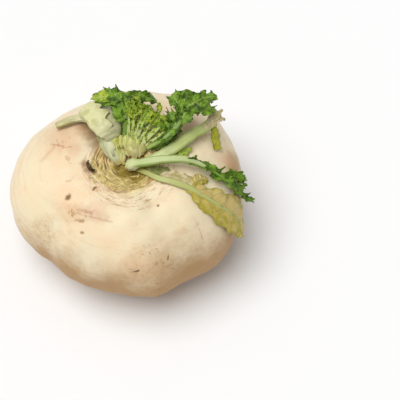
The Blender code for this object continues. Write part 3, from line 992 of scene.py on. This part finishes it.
def skin_creases(points):
    """Shallow creases and dents of the shoulder: (depth in metres, darkness)."""
    x, y = (points[:, 0] - CROWN.x) / MM, (points[:, 1] - CROWN.y) / MM
    depth = np.zeros(len(points))
    for (x0, y0), (x1, y1), wide, deep in CREASES:
        run = np.array((x1 - x0, y1 - y0), float)
        share = np.clip(((x - x0) * run[0] + (y - y0) * run[1]) / (run @ run), 0, 1)
        away = np.hypot(x - x0 - share * run[0], y - y0 - share * run[1])
        away = away + 0.5 * wobble(np.stack([x, y, 0 * x], axis=1), 6, 44)
        ends = np.clip(4 * share * (1 - share) + 0.15, 0, 1)
        depth = np.maximum(depth, deep * ends * np.exp(-((away / wide) ** 2)))
    depth = depth * (points[:, 2] > ROOT_CENTRE.z)
    return depth * MM, np.clip(depth, 0, 1) * 0.5


def earth_and_shade_shares(points):
    """How tan and how freckled the skin is: more of both low down, at the front and on the right. The tan
    share is partly earth stain and partly painted shade on the lower rim; the spot high on the right flank
    is painted shade.
    """
    x, y = (points[:, 0] - ROOT_CENTRE.x) / MM, (points[:, 1] - ROOT_CENTRE.y) / MM
    z = points[:, 2] / MM
    turn = np.arctan2(y, x)
    front = 0.5 + 0.5 * np.cos(turn - math.radians(-68))
    top = 78 + 34 * front + 7 * wobble(points, 45 * MM, 51)
    tanned = np.clip((top - z) / 64, 0, 1) ** 1.2
    # Painted shade high on the right flank, laid as tan.
    tanned = np.maximum(tanned, 0.9 * np.exp(-(((x - 84) / 9) ** 2) - ((y - 8) / 16) ** 2) * (z > 70))
    sunk = np.clip(1 - z / 10, 0, 1)
    patch = np.exp(-(((x - 25) / 19) ** 2) - ((y + 77) / 12) ** 2) * (z > 45)
    patch = np.maximum(patch, 0.8 * np.exp(-(((x + 62) / 14) ** 2) - ((y + 52) / 12) ** 2) * (z > 45))
    patch = np.maximum(patch, 0.7 * np.exp(-(((x + 38) / 17) ** 2) - ((y + 45) / 8) ** 2) * (z > 60))
    freckled = np.clip(patch + tanned * 0.45 * np.clip(wobble(points, 30 * MM, 52), 0, 1), 0, 1)
    return {"tanned": np.clip(tanned * (0.55 + 0.45 * front) + 0.3 * sunk, 0, 1), "freckled": freckled}


class TURNIP_OT_root(Operator):
    """Makes the root's skin from the frame's root: smoother, with lobes, crown rings and creases"""

    bl_idname = "turnip.root"
    bl_label = "Root"

    def execute(self, context):
        skin = context.scene.turnip_skin
        node = frame["nodes"]["root"]
        piece = bpy.data.objects.new("turnip_root", node.data.copy())
        context.scene.collection.objects.link(piece)
        piece.data.name = "turnip_root"
        edit(piece)
        bpy.ops.mesh.remove_doubles(threshold=WELD)
        bpy.ops.mesh.tris_convert_to_quads(face_threshold=math.radians(60), shape_threshold=math.radians(80))
        bpy.ops.object.mode_set(mode="OBJECT")
        apply(piece, "SUBSURF", levels=2, render_levels=2)
        for share in (0.95, 0.64):
            self.refine_crown(piece, skin.crown_radius * share)
        points = points_of(piece)
        normals = np.empty(len(points) * 3)
        piece.data.vertices.foreach_get("normal", normals)
        normals = normals.reshape(-1, 3)
        rings, shares = crown_shape(points, skin)
        crease, shares["crease"] = skin_creases(points)
        shares.update(earth_and_shade_shares(points))
        resting = np.clip(points[:, 2] / (6 * MM), 0, 1)
        swell = wobble(points, 60 * MM, 31) * 0.8 * MM + wobble(points, 20 * MM, 32) * 0.28 * MM
        points = points + normals * ((swell * resting + rings - crease)[:, None])
        points[:, 2] = np.maximum(points[:, 2], 0)
        put_points(piece, points)
        for name, values in shares.items():
            layer = piece.data.attributes.new(name, "FLOAT", "POINT")
            layer.data.foreach_set("value", values.astype(np.float32))
        piece.data.materials.clear()
        piece.data.materials.append(skin_material(skin))
        piece.data.shade_smooth()
        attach(piece, "root")
        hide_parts("root")
        return {"FINISHED"}

    def refine_crown(self, piece, reach):
        """Splits the faces round the crown once more, for its rings."""
        edit(piece)
        bpy.ops.mesh.select_mode(type="FACE")
        bpy.ops.mesh.select_all(action="DESELECT")
        work = bmesh.from_edit_mesh(piece.data)
        for face in work.faces:
            middle = face.calc_center_median()
            near = (middle.xy - CROWN.xy - MM * Vector(RING_MIDDLE)).length < reach
            face.select = near and middle.z > ROOT_CENTRE.z
        bmesh.update_edit_mesh(piece.data)
        bpy.ops.mesh.subdivide(number_cuts=1, smoothness=0)
        bpy.ops.object.mode_set(mode="OBJECT")


class TURNIP_OT_flakes(Operator):
    """Makes the torn flakes that old leaf bases left round the crown"""

    bl_idname = "turnip.flakes"
    bl_label = "Crown flakes"

    # Each flake: direction of its middle in degrees, radius in mm, half its sweep in degrees, height in mm.
    FLAKES = (
        (-100, 20, 30, 1.5), (-130, 23, 24, 1.6), (-60, 21, 24, 1.2), (-160, 21, 20, 1.6),
        (-85, 24, 20, 1.0), (-148, 26, 15, 1.1), (-110, 16, 34, 1.6), (-75, 14, 30, 1.3),
        (-20, 19, 14, 1.1), (-140, 17, 22, 1.6), (-172, 25, 11, 1.2), (-120, 26, 13, 0.9),
        (-150, 30, 8, 0.8),
    )

    def execute(self, context):
        skin = context.scene.turnip_skin
        ground = root_ground()
        flakes = []
        for index, (middle, radius, sweep, height) in enumerate(self.FLAKES):
            turns = np.radians(np.linspace(middle - sweep, middle + sweep, 7))
            drift = np.random.default_rng(index).uniform(-1.2, 1.2, 7)
            route = []
            for turn, off in zip(turns, drift):
                x, y = 3 + (radius + off) * math.cos(turn), -4 + (radius + off) * math.sin(turn)
                over = Vector((CROWN.x + x * MM, CROWN.y + y * MM, 2 * ROOT_HIGH.z))
                hit = ground.ray_cast(over, Vector((0, 0, -1)))[0]
                route.append((x, y, (hit.z - CROWN.z) / MM + height * 0.22))
            tilt = math.radians(middle)
            flakes.append(blade(
                f"flake_{index}", route, ((0, 0.6), (0.3, height * 1.7), (0.7, height * 1.5), (1, 0.5)),
                face=(0.75 * math.cos(tilt), 0.75 * math.sin(tilt), 0.8), ruffle=0.25, waves=2, crumple=0.22,
                teeth=5, bite=0.25, columns=6, rows=26, seed=60 + index, thickness=0.35 * MM, lean=0.3,
            ))
        straw = dry_material("flake_straw", toned(skin.ring, 0.5), skin.ring)
        hand_over(joined("crown_flakes", flakes), straw, "root")
        return {"FINISHED"}


# ---------------------------------------------------------------- leaves


def lobed_leaf(name, outlines, seed, **shape):
    """Several blades of one leaf joined. Each outline is (route, widths)."""
    return joined(name, [
        blade(f"{name}_{index}", route, widths, seed=seed + 3 * index, **shape)
        for index, (route, widths) in enumerate(outlines)
    ])


def leaflets(name, rib, sizes, seed, turn=0.9, lift=0.5):
    """Small curly leaflets on both sides of a rib, with longer ones in the middle of it."""
    rng = np.random.default_rng(seed)
    spots = smooth_path(rib, 40)
    made = []
    for index, (share, size) in enumerate(sizes):
        row = int(share * 39)
        start = (spots[row] - np.array(CROWN)) / MM
        heading = unit((spots[min(row + 2, 39)] - spots[max(row - 2, 0)])[None])[0]
        out = unit(np.cross(heading, (0, -0.3, 1.0))[None])[0] * (1 if index % 2 else -1)
        go = unit((heading * (1.1 - turn * 0.5) + out * turn + rng.normal(size=3) * 0.2)[None])[0]
        middle = start + go * size * 0.5 + np.array((0, 0, lift))
        tip = start + go * size + np.array((0, 0, lift * rng.uniform(-2.5, 2.0)))
        width = size * rng.uniform(0.55, 0.8)
        made.append(blade(
            f"{name}_{index}", (start, middle, tip), ((0, width * 0.3), (0.55, width), (1, width * 0.35)),
            face=(0, -0.3, 1), ruffle=1.3, waves=2.5, frill=0.5, crumple=0.6, teeth=7, bite=0.4, cup=-0.8,
            columns=10, rows=24, seed=seed + 7 * index, lobes=3, lobing=0.35,
        ))
    return joined(name, made)


# Where leaflets leave a heart leaf's rib, as a share of its length, and how long they are in mm.
LEAFLETS = ((0.55, 6), (0.66, 7), (0.76, 8), (0.86, 8), (1.0, 7))


# Pale scales round the shoot: a route each, and its width in mm.
SCALES = (
    (((8.0, -1.4, 5.2), (7.6, 2.5, 9.6), (6.8, 7.5, 13.2), (6.0, 12, 15.2)), 11),
    (((4.0, 0.5, 5.0), (3.0, 4.5, 9), (2.4, 9, 12.5), (2.6, 13.5, 15)), 7),
    (((12.0, -0.5, 5.6), (13.4, 3, 9.5), (14.8, 7, 12.5), (17.5, 10.5, 14)), 8),
    (((9.8, -1.0, 5.6), (10.6, 3.5, 10.2), (11.2, 8, 13.6), (12.0, 12, 15.5)), 6.5),
    (((0.6, -2.5, 3.6), (-1.0, 3, 6.5), (-1.8, 9, 10.5), (-1.4, 14, 14)), 5.5),
)
# The ribs of each heart leaf.
HEART_RIBS = {
    "leaf_heart_left": (
        ((6.5, 10, 11.2), (7.5, 17, 19), (9, 25, 25), (13, 35, 29.5)),
        ((4.5, 10, 11.4), (4.4, 17, 19), (5.0, 26, 25.5), (7, 37, 29.5)),
        ((8.4, 10, 12), (10.5, 17, 18), (15, 24, 24), (21, 32, 28)),
    ),
    "leaf_heart_centre": (
        ((12.2, 9.4, 11.4), (16.5, 14.6, 17.4), (21.5, 21, 21.4), (27.5, 28.5, 23.4)),
        ((10.6, 10, 12.5), (13, 15.5, 19), (16.5, 21, 24), (22.5, 27.5, 26.5)),
        ((13.4, 8.8, 12), (19.5, 12.5, 16.5), (26, 17, 20), (33.5, 23, 21.5)),
    ),
    "leaf_heart_right": (
        ((17, 7, 11.2), (25, 9.5, 16.5), (32.5, 15, 19.5), (39, 22, 20)),
        ((15.5, 8, 12.5), (22.5, 12, 18.6), (30, 18, 22), (37, 26, 23)),
    ),
}


class TURNIP_OT_heart(Operator):
    """Makes the pale shoot in the middle of the crown and the small curly heart leaves"""

    bl_idname = "turnip.heart"
    bl_label = "Heart"

    def execute(self, context):
        ground = root_ground()
        shoot = [stalk(
            "heart_stem", ((8.2, -0.2, 3.4), (8.5, 2.5, 6.5), (8.6, 6, 9.5), (8.6, 9.5, 11.6)),
            ((0, 3), (0.25, 9), (0.6, 12), (1, 9)), ((0, 3), (0.4, 6.5), (1, 5)), groove=0.15, seed=3,
            uneven=0.06,
        )]
        for index, (route, width) in enumerate(SCALES):
            shoot.append(blade(
                f"heart_scale_{index}", route,
                ((0, 0.8), (0.2, width * 0.75), (0.5, width), (0.85, width * 0.8), (1, width * 0.3)),
                face=(0, -0.9, 0.7), cup=width * 0.22, crumple=0.25, ruffle=0.35, teeth=5, bite=0.12,
                columns=14, rows=30, seed=90 + index, thickness=0.9 * MM,
            ))
        hand_over(joined("heart_stem", shoot), "shoot_flesh", "heart_stem", ground)
        for number, (node, lines) in enumerate(HEART_RIBS.items()):
            stalks, frills = [], []
            for k, line in enumerate(lines):
                seed = 200 + 40 * number + 9 * k
                raised = [(x, y - 0.2, z + 0.5) for x, y, z in line]
                stalks.append(stalk(
                    f"{node}_rib_{k}", raised, ((0, 3.4), (0.35, 2.4), (0.7, 1.3), (1, 0.5)),
                    ((0, 2.6), (0.35, 1.8), (1, 0.5)), groove=0.3, sides=14, rows=30, seed=seed,
                ))
                frills.append(blade(
                    f"{node}_frill_{k}", line,
                    ((0, 0.6), (0.24, 2), (0.4, 4), (0.56, 7), (0.78, 10), (0.94, 8), (1, 3)),
                    face=(0.1, -0.5, 1), ruffle=2.2, waves=4.0, frill=0.7, crumple=0.9, fold=6, teeth=9,
                    bite=0.35, lobes=6, lobing=0.65, columns=18, rows=110, seed=seed + 3,
                ))
            hand_over(joined(f"{node}_ribs", stalks), "leaf_rib", node, ground)
            curls = leaflets(node, lines[0], LEAFLETS, seed=210 + 40 * number)
            hand_over(joined(node, [curls, *frills]), "heart_leaf_green", node, ground)
        return {"FINISHED"}


class TURNIP_OT_left_base(Operator):
    """Makes the broad hooded leaf base on the left and the cut stalk under it"""

    bl_idname = "turnip.left_base"
    bl_label = "Left leaf base"

    HOOD = ((-10.5, 12.5, 12.2), (-14, 20.5, 14.6), (-17.5, 28, 14.6), (-22, 35.5, 12.8), (-26.5, 41.5, 10))
    WIDTHS = ((0, 9), (0.06, 16), (0.15, 21), (0.35, 27), (0.7, 29), (0.9, 26), (1, 17))
    HEIGHT = ((0, 0.5), (0.08, 4), (0.2, 7.5), (0.45, 9), (0.8, 7), (1, 4))
    # Thin layers along the neck: a route each, and its width in mm.
    LAYERS = (
        (((-5, -5, 2.0), (-11, 2.5, 6.8), (-15.5, 9, 10), (-19, 15, 12)), 6),
        (((0.5, -5, 2.2), (-4.5, 3, 7.8), (-7, 11, 12.4), (-9, 19, 16)), 5.5),
    )

    def execute(self, context):
        ground = root_ground()
        under = [(x + 3.6, y - 1.0, z - 1.5) for x, y, z in self.HOOD]
        dome = shell(
            "hood_dome", under, self.WIDTHS, lambda share: (-0.96, 1.0 + 0 * share), self.HEIGHT, seed=12
        )
        flap = shell(
            "hood_flap", self.HOOD, self.WIDTHS, self.torn_edge, self.HEIGHT, lift=1.6, seed=12,
            thickness=0.8, rows=120, columns=20,
        )
        neck = stalk(
            "leaf_base_neck",
            ((-2.5, -4.5, 2.0), (-6.5, 2.5, 6.0), (-10, 8.5, 9.2), (-12.5, 15, 11.6), (-15, 22, 12.4),
             (-17, 28, 12)),
            ((0, 6), (0.25, 10), (0.6, 12), (1, 14)), ((0, 3), (0.3, 5), (1, 4)), groove=0.2, seed=14,
            uneven=0.05,
        )
        outer, inner = [
            blade(
                f"neck_layer_{index}", line, (3, wide, wide * 0.7), face=(-0.2, -0.6, 1), cup=wide * 0.22,
                crumple=0.3, ruffle=0.3, columns=12, rows=36, seed=110 + index, thickness=0.8 * MM,
            )
            for index, (line, wide) in enumerate(self.LAYERS)
        ]
        for piece, finish in (
            (dome, "sheath_flesh"), (joined("leaf_base_neck", [neck, outer]), "neck_flesh"),
            (inner, "inner_layer"), (flap, "torn_sheath"),
        ):
            hand_over(piece, finish, "leaf_base_left", ground)
        cut = stalk(
            "stalk_left",
            ((-27, 32.5, 7.6), (-33, 34, 7.6), (-39, 34, 6.4), (-46, 32.5, 4.6), (-53, 30, 2.6)),
            ((0, 8), (0.6, 9), (1, 7.5)), ((0, 4.4), (0.6, 5), (1, 4.6)), groove=0.25, seed=22, end_cup=1.2,
        )
        hand_over(cut, "cut_stalk_left", "stalk_left", ground)
        return {"FINISHED"}

    @staticmethod
    def torn_edge(share):
        """How far the torn flap reaches to each side: a zigzag that gets smaller along it."""
        zigzag = np.abs((share * 4.3 + 0.15) % 1 - 0.5) * 0.75 - 0.15
        torn = 0.10 + zigzag * np.clip(1.5 - 1.2 * share, 0.4, 1) + 0.05 * np.sin(31 * share)
        return -1.03 + 0 * share, torn


class TURNIP_OT_back_leaves(Operator):
    """Makes the two dark curly leaves that lean back over the shoulder"""

    bl_idname = "turnip.back_leaves"
    bl_label = "Back leaves"

    CURLY = {
        "face": (0, -0.35, 1), "ruffle": 2.6, "waves": 2.6, "frill": 0.6, "crumple": 1.5, "fold": 9,
        "teeth": 8, "bite": 0.2, "lobes": 4, "lobing": 0.32, "columns": 24, "rows": 84,
    }
    SMOOTHER = {"waves": 2.0, "frill": 0.1, "crumple": 0.9, "teeth": 4, "bite": 0.10, "lobing": 0.22}
    LEFT_RIB = (
        (0.4, 2, 4.9), (0.6, 8, 7.8), (1.6, 15, 12.6), (2, 22, 19), (1, 30, 24), (-1.5, 40, 27.5),
        (-4, 47, 27.5),
    )
    RIGHT_RIB = ((18.5, 2, 14.6), (30, 5.5, 21.5), (41, 15, 26), (49, 28, 28.5), (55, 40, 29))
    SIDE_RIBS = (
        ((40, 14.5, 26.2), (40.5, 24, 28.2), (42.5, 34, 29), (46, 43, 28)),
        ((46, 22, 28.2), (49, 29, 29), (50, 38, 29.2)),
        ((51, 31, 29.5), (60, 37, 29), (69, 41, 25.5)),
    )
    # The lobes of each leaf: a route and the widths along it.
    LEFT_LOBES = (
        (((1.6, 17, 14.5), (2, 23, 19.8), (1, 30, 24.6), (-1.5, 38, 27.4), (-4, 46, 26.5)),
         ((0, 3), (0.3, 12), (0.5, 20), (0.8, 25), (1, 9))),
        (((0, 32, 25), (-8, 38, 26.5), (-16, 43, 22.5), (-24, 46, 16)),
         ((0, 6), (0.4, 16), (0.75, 13), (1, 3))),
        (((-1, 36, 27), (-8, 43, 27.5), (-15, 47, 24)), (6, 15, 5)),
        (((1, 33, 26), (8, 39, 28), (17, 41, 25), (25, 41, 20.5)), ((0, 6), (0.35, 13), (0.8, 8), (1, 2.5))),
        (((3, 27, 22.5), (9, 33, 25.5), (15, 37, 25)), (4, 10, 3)),
        (((4, 33, 26.5), (11, 40, 28), (18, 44, 25.5)), (5, 12, 4)),
        (((2, 22, 20), (-4, 27, 23.5), (-9, 33, 24)), (4, 9, 3)),
    )
    RIGHT_LOBES = (
        (((22, 3, 16.6), (30, 5.6, 21.6), (40, 14, 26), (45, 21, 28), (50, 30, 29.5), (56, 42, 29.5)),
         ((0, 2), (0.2, 7), (0.4, 10), (0.62, 17), (0.85, 22), (1, 8))),
        (((46, 23, 28), (42, 31, 29), (39, 39, 27.5), (37, 44, 25.5)),
         ((0, 5), (0.5, 13), (0.85, 12), (1, 5))),
        (((51, 31, 29.5), (59, 37, 29), (66, 41, 26), (71, 42, 24)), ((0, 6), (0.5, 14), (0.8, 11), (1, 3))),
        (((49, 26, 28.5), (57, 30, 27), (64, 33, 22.5), (69, 35, 18.5)),
         ((0, 6), (0.5, 14), (0.8, 11), (1, 4))),
        (((42, 17, 26.5), (37, 23, 26), (33, 29, 24)), (4, 10, 3)),
        (((36, 10.5, 24.5), (34, 16, 24), (31, 21, 22)), (3, 9, 3)),
        (((42, 20, 27.5), (46, 33, 30), (46, 45, 28)), (4, 12, 6)),
    )

    def execute(self, context):
        ground = root_ground()
        rib = stalk(
            "leaf_back_left_rib", self.LEFT_RIB, ((0, 4.5), (0.45, 5), (0.7, 3), (1, 0.8)), (3.5, 2.5, 0.6),
            groove=0.35, seed=31,
        )
        hand_over(rib, "back_leaf_rib", "leaf_back_left", ground)
        piece = lobed_leaf("leaf_back_left", self.LEFT_LOBES, 300, **{**self.CURLY, **self.SMOOTHER})
        hand_over(piece, "grown_leaf_green", "leaf_back_left", ground)
        tip = blade(
            "leaf_back_left_tip", ((-8, 39.5, 27.2), (-16, 42.5, 23.6), (-26, 45.5, 16.4)), (4, 11, 2),
            face=(0, -0.35, 1), ruffle=1.0, waves=2, crumple=0.6, columns=14, rows=30, seed=333,
        )
        hand_over(tip, "heart_leaf_green", "leaf_back_left", ground)
        ribs = [stalk(
            "back_right_rib_0", self.RIGHT_RIB, ((0, 3.4), (0.45, 3.8), (0.7, 2.6), (1, 0.8)),
            (3, 2.2, 0.6), groove=0.35, seed=35,
        )]
        for index, line in enumerate(self.SIDE_RIBS):
            ribs.append(stalk(
                f"back_right_rib_{index + 1}", line, ((0, 2.4), (0.6, 1.6), (1, 0.5)),
                ((0, 2), (0.6, 1.3), (1, 0.5)), groove=0.2, sides=14, rows=30, seed=36 + index,
            ))
        rib = joined("leaf_back_right_rib", ribs)
        hand_over(rib, "back_leaf_rib", "leaf_back_right", ground)
        piece = lobed_leaf("leaf_back_right", self.RIGHT_LOBES, 340, **self.CURLY)
        hand_over(piece, "grown_leaf_green", "leaf_back_right", ground)
        return {"FINISHED"}


class TURNIP_OT_right_stalk(Operator):
    """Makes the thick right stalk with its dried end, strap, side leaf and shaded blade"""

    bl_idname = "turnip.right_stalk"
    bl_label = "Right stalk"

    THICK = (
        (17, -3.6, 7), (27, -1.8, 10.2), (37, 3, 11.8), (45, 9.5, 12), (53, 17.5, 10.8), (62, 25.5, 7.8),
        (68, 31.5, 8), (73, 37, 11),
    )
    TORN = (
        ((66, 30, 9.6), (71, 34.5, 11.6), (75.5, 38, 13.5)),
        ((65.5, 31, 9.2), (68.5, 36.5, 10), (70, 41.5, 9.4)),
        ((68, 31, 9), (73, 33, 8.6), (77.5, 33.5, 7)), ((61, 24.5, 9.4), (66, 27.5, 8.8), (70.5, 27.5, 6.4)),
    )

    def execute(self, context):
        ground = root_ground()
        thick = stalk(
            "stalk_right", self.THICK, ((0, 5), (0.3, 9), (0.8, 8), (0.93, 7.5), (1, 4)),
            ((0, 4), (0.3, 5.5), (0.85, 4), (1, 1.4)), groove=0.35, seed=41, uneven=0.06, end_cup=1.5,
        )
        hand_over(thick, "cut_stalk_right", "stalk_right", ground)
        shaded = blade(
            "blade_right", ((21.5, 3.4, 10.2), (28.5, 6.6, 13), (36, 11.5, 14.8), (44, 18, 15.2)), (3, 8, 3),
            cup=-1.0, ruffle=0.8, crumple=0.4, teeth=8, bite=0.2, seed=43, columns=12, rows=40,
        )
        hand_over(shaded, "grown_leaf_green", "blade_right", ground)
        side = blade(
            "leaf_side_right", ((36, -4.2, 8.8), (42, -1.4, 9.2), (47, 2, 9), (52, 7.5, 7.2)), (3, 6.5, 2),
            cup=0.8, ruffle=0.6, crumple=0.35, teeth=6, bite=0.2, seed=47, columns=12, rows=34,
        )
        hand_over(side, "heart_leaf_green", "leaf_side_right", ground)
        strap = blade(
            "strap_right", ((69.5, 29.5, 5), (70, 25, 1.5), (70.5, 20.5, -2), (72.5, 13.5, -5.6)),
            (6, 8.5, 7), face=(0.6, -0.4, 0.6), cup=0.8, ruffle=0.5, crumple=0.5, seed=49, columns=14,
            rows=40,
        )
        hand_over(strap, "strap_yellow", "strap_right", ground)
        torn = [
            blade(
                f"torn_end_{index}", line, (5, 6, 1.5), cup=0.8, ruffle=0.5, crumple=0.4, face=(0, -0.4, 1),
                teeth=3, bite=0.2, columns=12, rows=24, seed=130 + index, thickness=0.7 * MM,
            )
            for index, line in enumerate(self.TORN)
        ]
        hand_over(joined("stalk_right_torn", torn), "torn_straw", "stalk_right", ground)
        return {"FINISHED"}


class TURNIP_OT_front_leaf(Operator):
    """Makes the front leaf: swollen base, light stalk and narrow crumpled blade"""

    bl_idname = "turnip.front_leaf"
    bl_label = "Front leaf"

    STEM = (
        (2.5, -8, 5.3), (9, -9, 9.6), (17, -10, 13.8), (27, -10, 17), (37, -9.5, 17.5), (47, -9, 16),
        (56, -9.5, 11.4), (64, -10.5, 5.8), (72, -12, -1.2), (80, -13.5, -9.8), (87, -14.5, -20.2),
        (93, -14.5, -31.2),
    )
    LOBES = (
        (((48, -9, 15.8), (56, -9.5, 11.8), (64, -10.5, 6.2), (72, -12, -0.8), (80, -13.5, -9.4),
          (87, -14.5, -19.6), (93, -14.5, -30.6), (98, -14, -38.5)),
         ((0, 4), (0.1, 11), (0.22, 8), (0.4, 11), (0.7, 11), (0.88, 9), (1, 2.5))),
        (((76, -9, -4.5), (83, -5.5, -12), (89, -4, -21), (92.5, -6, -29)), (3, 8, 3)),
    )

    def execute(self, context):
        ground = root_ground()
        stem = stalk(
            "leaf_front_stalk", self.STEM,
            ((0, 5), (0.03, 9), (0.06, 10), (0.105, 6.6), (0.15, 7), (0.4, 6), (0.5, 4.5), (0.64, 2),
             (1, 0.7)),
            ((0, 4), (0.03, 8), (0.06, 9), (0.105, 6), (0.15, 6.4), (0.4, 5), (0.5, 4), (0.64, 2), (1, 0.7)),
            groove=0.3, rows=90, seed=51,
        )
        hand_over(stem, "front_stalk", "leaf_front", ground)
        piece = lobed_leaf(
            "leaf_front", self.LOBES, 360, cup=-1.6, ruffle=1.8, waves=6, frill=0.5, crumple=1.8, fold=8,
            teeth=5, bite=0.10, lobes=6, lobing=0.3, columns=22, rows=130,
        )
        hand_over(piece, "front_leaf_green", "leaf_front", ground)
        return {"FINISHED"}


class TURNIP_OT_wilted_leaf(Operator):
    """Makes the wilted yellow leaf that lies on the right shoulder"""

    bl_idname = "turnip.wilted_leaf"
    bl_label = "Wilted leaf"

    LINE = (
        (7, -8.5, 3.4), (16.5, -14, 6.6), (27, -21, 9.2), (38, -24, 8.6), (49, -26.5, 5.2), (57, -29, 1),
        (65, -31.5, -4.4), (73, -33, -11.6), (80, -33.5, -20), (86.5, -35, -30.4), (92, -40.5, -47),
    )
    LOBES = (
        (LINE[4:], ((0, 6), (0.18, 20), (0.45, 28), (0.72, 30), (0.9, 16), (1, 2))),
        (((52, -24, 4.6), (58, -19, 2.8), (64, -16.5, -1.5)), (4, 12, 4)),
        (((80, -27, -18), (86, -22, -24), (90, -20, -33), (90.5, -22, -42)), (5, 12, 4)),
    )

    def execute(self, context):
        ground = root_ground()
        stem = stalk(
            "leaf_wilted_stalk", self.LINE, ((0, 4), (0.4, 5), (0.54, 3.5), (1, 0.8)),
            ((0, 3), (0.4, 2.6), (0.54, 1.8), (1, 0.6)), groove=0.35, rows=90, seed=61,
        )
        hand_over(stem, "limp_stalk", "leaf_wilted", ground)
        film = blade(
            "wilted_film", ((28, -18.5, 9.2), (37, -18.5, 9.4), (46, -20, 7), (54, -24, 4)),
            ((0, 3), (0.4, 9), (0.8, 10), (1, 5)), cup=0.8, ruffle=0.6, crumple=0.6, seed=395, columns=16,
            rows=40, thickness=0.3 * MM,
        )
        hand_over(film, "dried_film", "leaf_wilted", ground)
        scrap = blade(
            "leaf_scrap", ((17, -11.5, 5.6), (24, -13, 7.6), (30, -14, 8.0), (36, -14.5, 7.2)),
            ((0, 3), (0.4, 7), (0.8, 7), (1, 3)), cup=0.6, ruffle=0.5, crumple=0.5, seed=397, columns=14,
            rows=36,
        )
        hand_over(scrap, "striped_scrap", "leaf_wilted", ground)
        piece = lobed_leaf(
            "leaf_wilted", self.LOBES, 380, cup=1.4, ruffle=0.8, waves=4, crumple=0.7, fold=9, teeth=7,
            bite=0.08, lobes=4, lobing=0.18, columns=34, rows=90,
        )
        hand_over(piece, "wilted_leaf_yellow", "leaf_wilted", ground)
        return {"FINISHED"}


class TURNIP_OT_dry_scales(Operator):
    """Makes the dry brown scales at the crown's rim, nearly black, partly painted shade of the dark hollows
    where they lie
    """

    bl_idname = "turnip.dry_scales"
    bl_label = "Dry scales"

    def execute(self, context):
        ground = root_ground()
        for node, route, seed in (
            ("dry_scale_left",
             ((-21, -13, 6.4), (-23.5, -12.5, 7.4), (-25.5, -9.5, 8.6), (-26, -5.5, 9.4)), 71),
            ("dry_scale_back", ((0.5, 21, 6.4), (2, 25, 9.2), (3, 29.5, 10.8), (3, 34, 10.6)), 73),
        ):
            scale = blade(
                node, route, (2.2, 3.4, 1.0), cup=-0.8, ruffle=0.4, waves=2, crumple=0.3, teeth=3, bite=0.2,
                columns=14, rows=30, seed=seed, thickness=0.4 * MM,
            )
            hand_over(scale, "dry_scale_brown", node, ground)
        return {"FINISHED"}


# ---------------------------------------------------------------- stage


class TURNIP_OT_stage(Operator):
    """Makes the pale floor, the soft lights and the camera"""

    bl_idname = "turnip.stage"
    bl_label = "Stage"

    def execute(self, context):
        stage = context.scene.turnip_stage
        pick()
        bpy.ops.mesh.primitive_plane_add(size=stage.floor_size, location=(0, 0, 0))
        floor = context.object
        floor.name = "floor"
        floor.data.materials.append(floor_material(stage.floor))

        aim = ROOT_CENTRE + Vector((stage.aim_right, -stage.aim_front, -stage.aim_down))
        back = Vector((0, -math.cos(stage.elevation), math.sin(stage.elevation)))
        lens = bpy.data.cameras.new("camera")
        lens.lens = stage.lens
        lens.sensor_width = 36
        lens.clip_start = 0.01
        camera = bpy.data.objects.new("camera", lens)
        camera.location = aim + back * stage.distance
        camera.rotation_euler = (math.pi / 2 - stage.elevation, 0, 0)
        context.scene.collection.objects.link(camera)
        context.scene.camera = camera

        lamp = bpy.data.lights.new("key_light", "SUN")
        lamp.energy = stage.key
        lamp.angle = stage.key_size
        key = bpy.data.objects.new("key_light", lamp)
        towards_light = Vector((-0.27, -0.10, 1.0))
        key.location = ROOT_CENTRE + towards_light
        key.rotation_euler = towards_light.to_track_quat("Z", "Y").to_euler()
        context.scene.collection.objects.link(key)
        world = bpy.data.worlds.new("even_light")
        world.use_nodes = True
        sky = world.node_tree.nodes["Background"]
        sky.inputs["Color"].default_value = (1, 1, 1, 1)
        sky.inputs["Strength"].default_value = stage.sky
        context.scene.world = world
        context.scene.view_settings.view_transform = "Standard"
        context.scene.view_settings.look = "None"
        return {"FINISHED"}


# ---------------------------------------------------------------- add-on


OPERATORS = (
    TURNIP_OT_root,
    TURNIP_OT_flakes,
    TURNIP_OT_heart,
    TURNIP_OT_left_base,
    TURNIP_OT_back_leaves,
    TURNIP_OT_right_stalk,
    TURNIP_OT_front_leaf,
    TURNIP_OT_wilted_leaf,
    TURNIP_OT_dry_scales,
    TURNIP_OT_stage,
)


class TURNIP_PT_panel(Panel):
    """Lists the turnip's pieces and settings"""

    bl_label = "Turnip"
    bl_idname = "TURNIP_PT_panel"
    bl_space_type = "VIEW_3D"
    bl_region_type = "UI"
    bl_category = "Turnip"

    def draw(self, context):
        layout = self.layout
        for group in (context.scene.turnip_skin, context.scene.turnip_leaf, context.scene.turnip_stage):
            box = layout.box()
            for key in group.__annotations__:
                box.prop(group, key)
        for operator in OPERATORS:
            layout.operator(operator.bl_idname)


GROUPS = {
    "turnip_skin": TurnipSkinSettings,
    "turnip_leaf": TurnipLeafSettings,
    "turnip_stage": TurnipStageSettings,
}


def register():
    for item in (*GROUPS.values(), *OPERATORS, TURNIP_PT_panel):
        bpy.utils.register_class(item)
    for name, group in GROUPS.items():
        setattr(bpy.types.Scene, name, PointerProperty(type=group))


def unregister():
    for name in GROUPS:
        delattr(bpy.types.Scene, name)
    for item in reversed((*GROUPS.values(), *OPERATORS, TURNIP_PT_panel)):
        bpy.utils.unregister_class(item)


def main():
    register()
    for operator in OPERATORS:
        group, _, name = operator.bl_idname.partition(".")
        getattr(getattr(bpy.ops, group), name)()


if __name__ == "__main__":
    main()
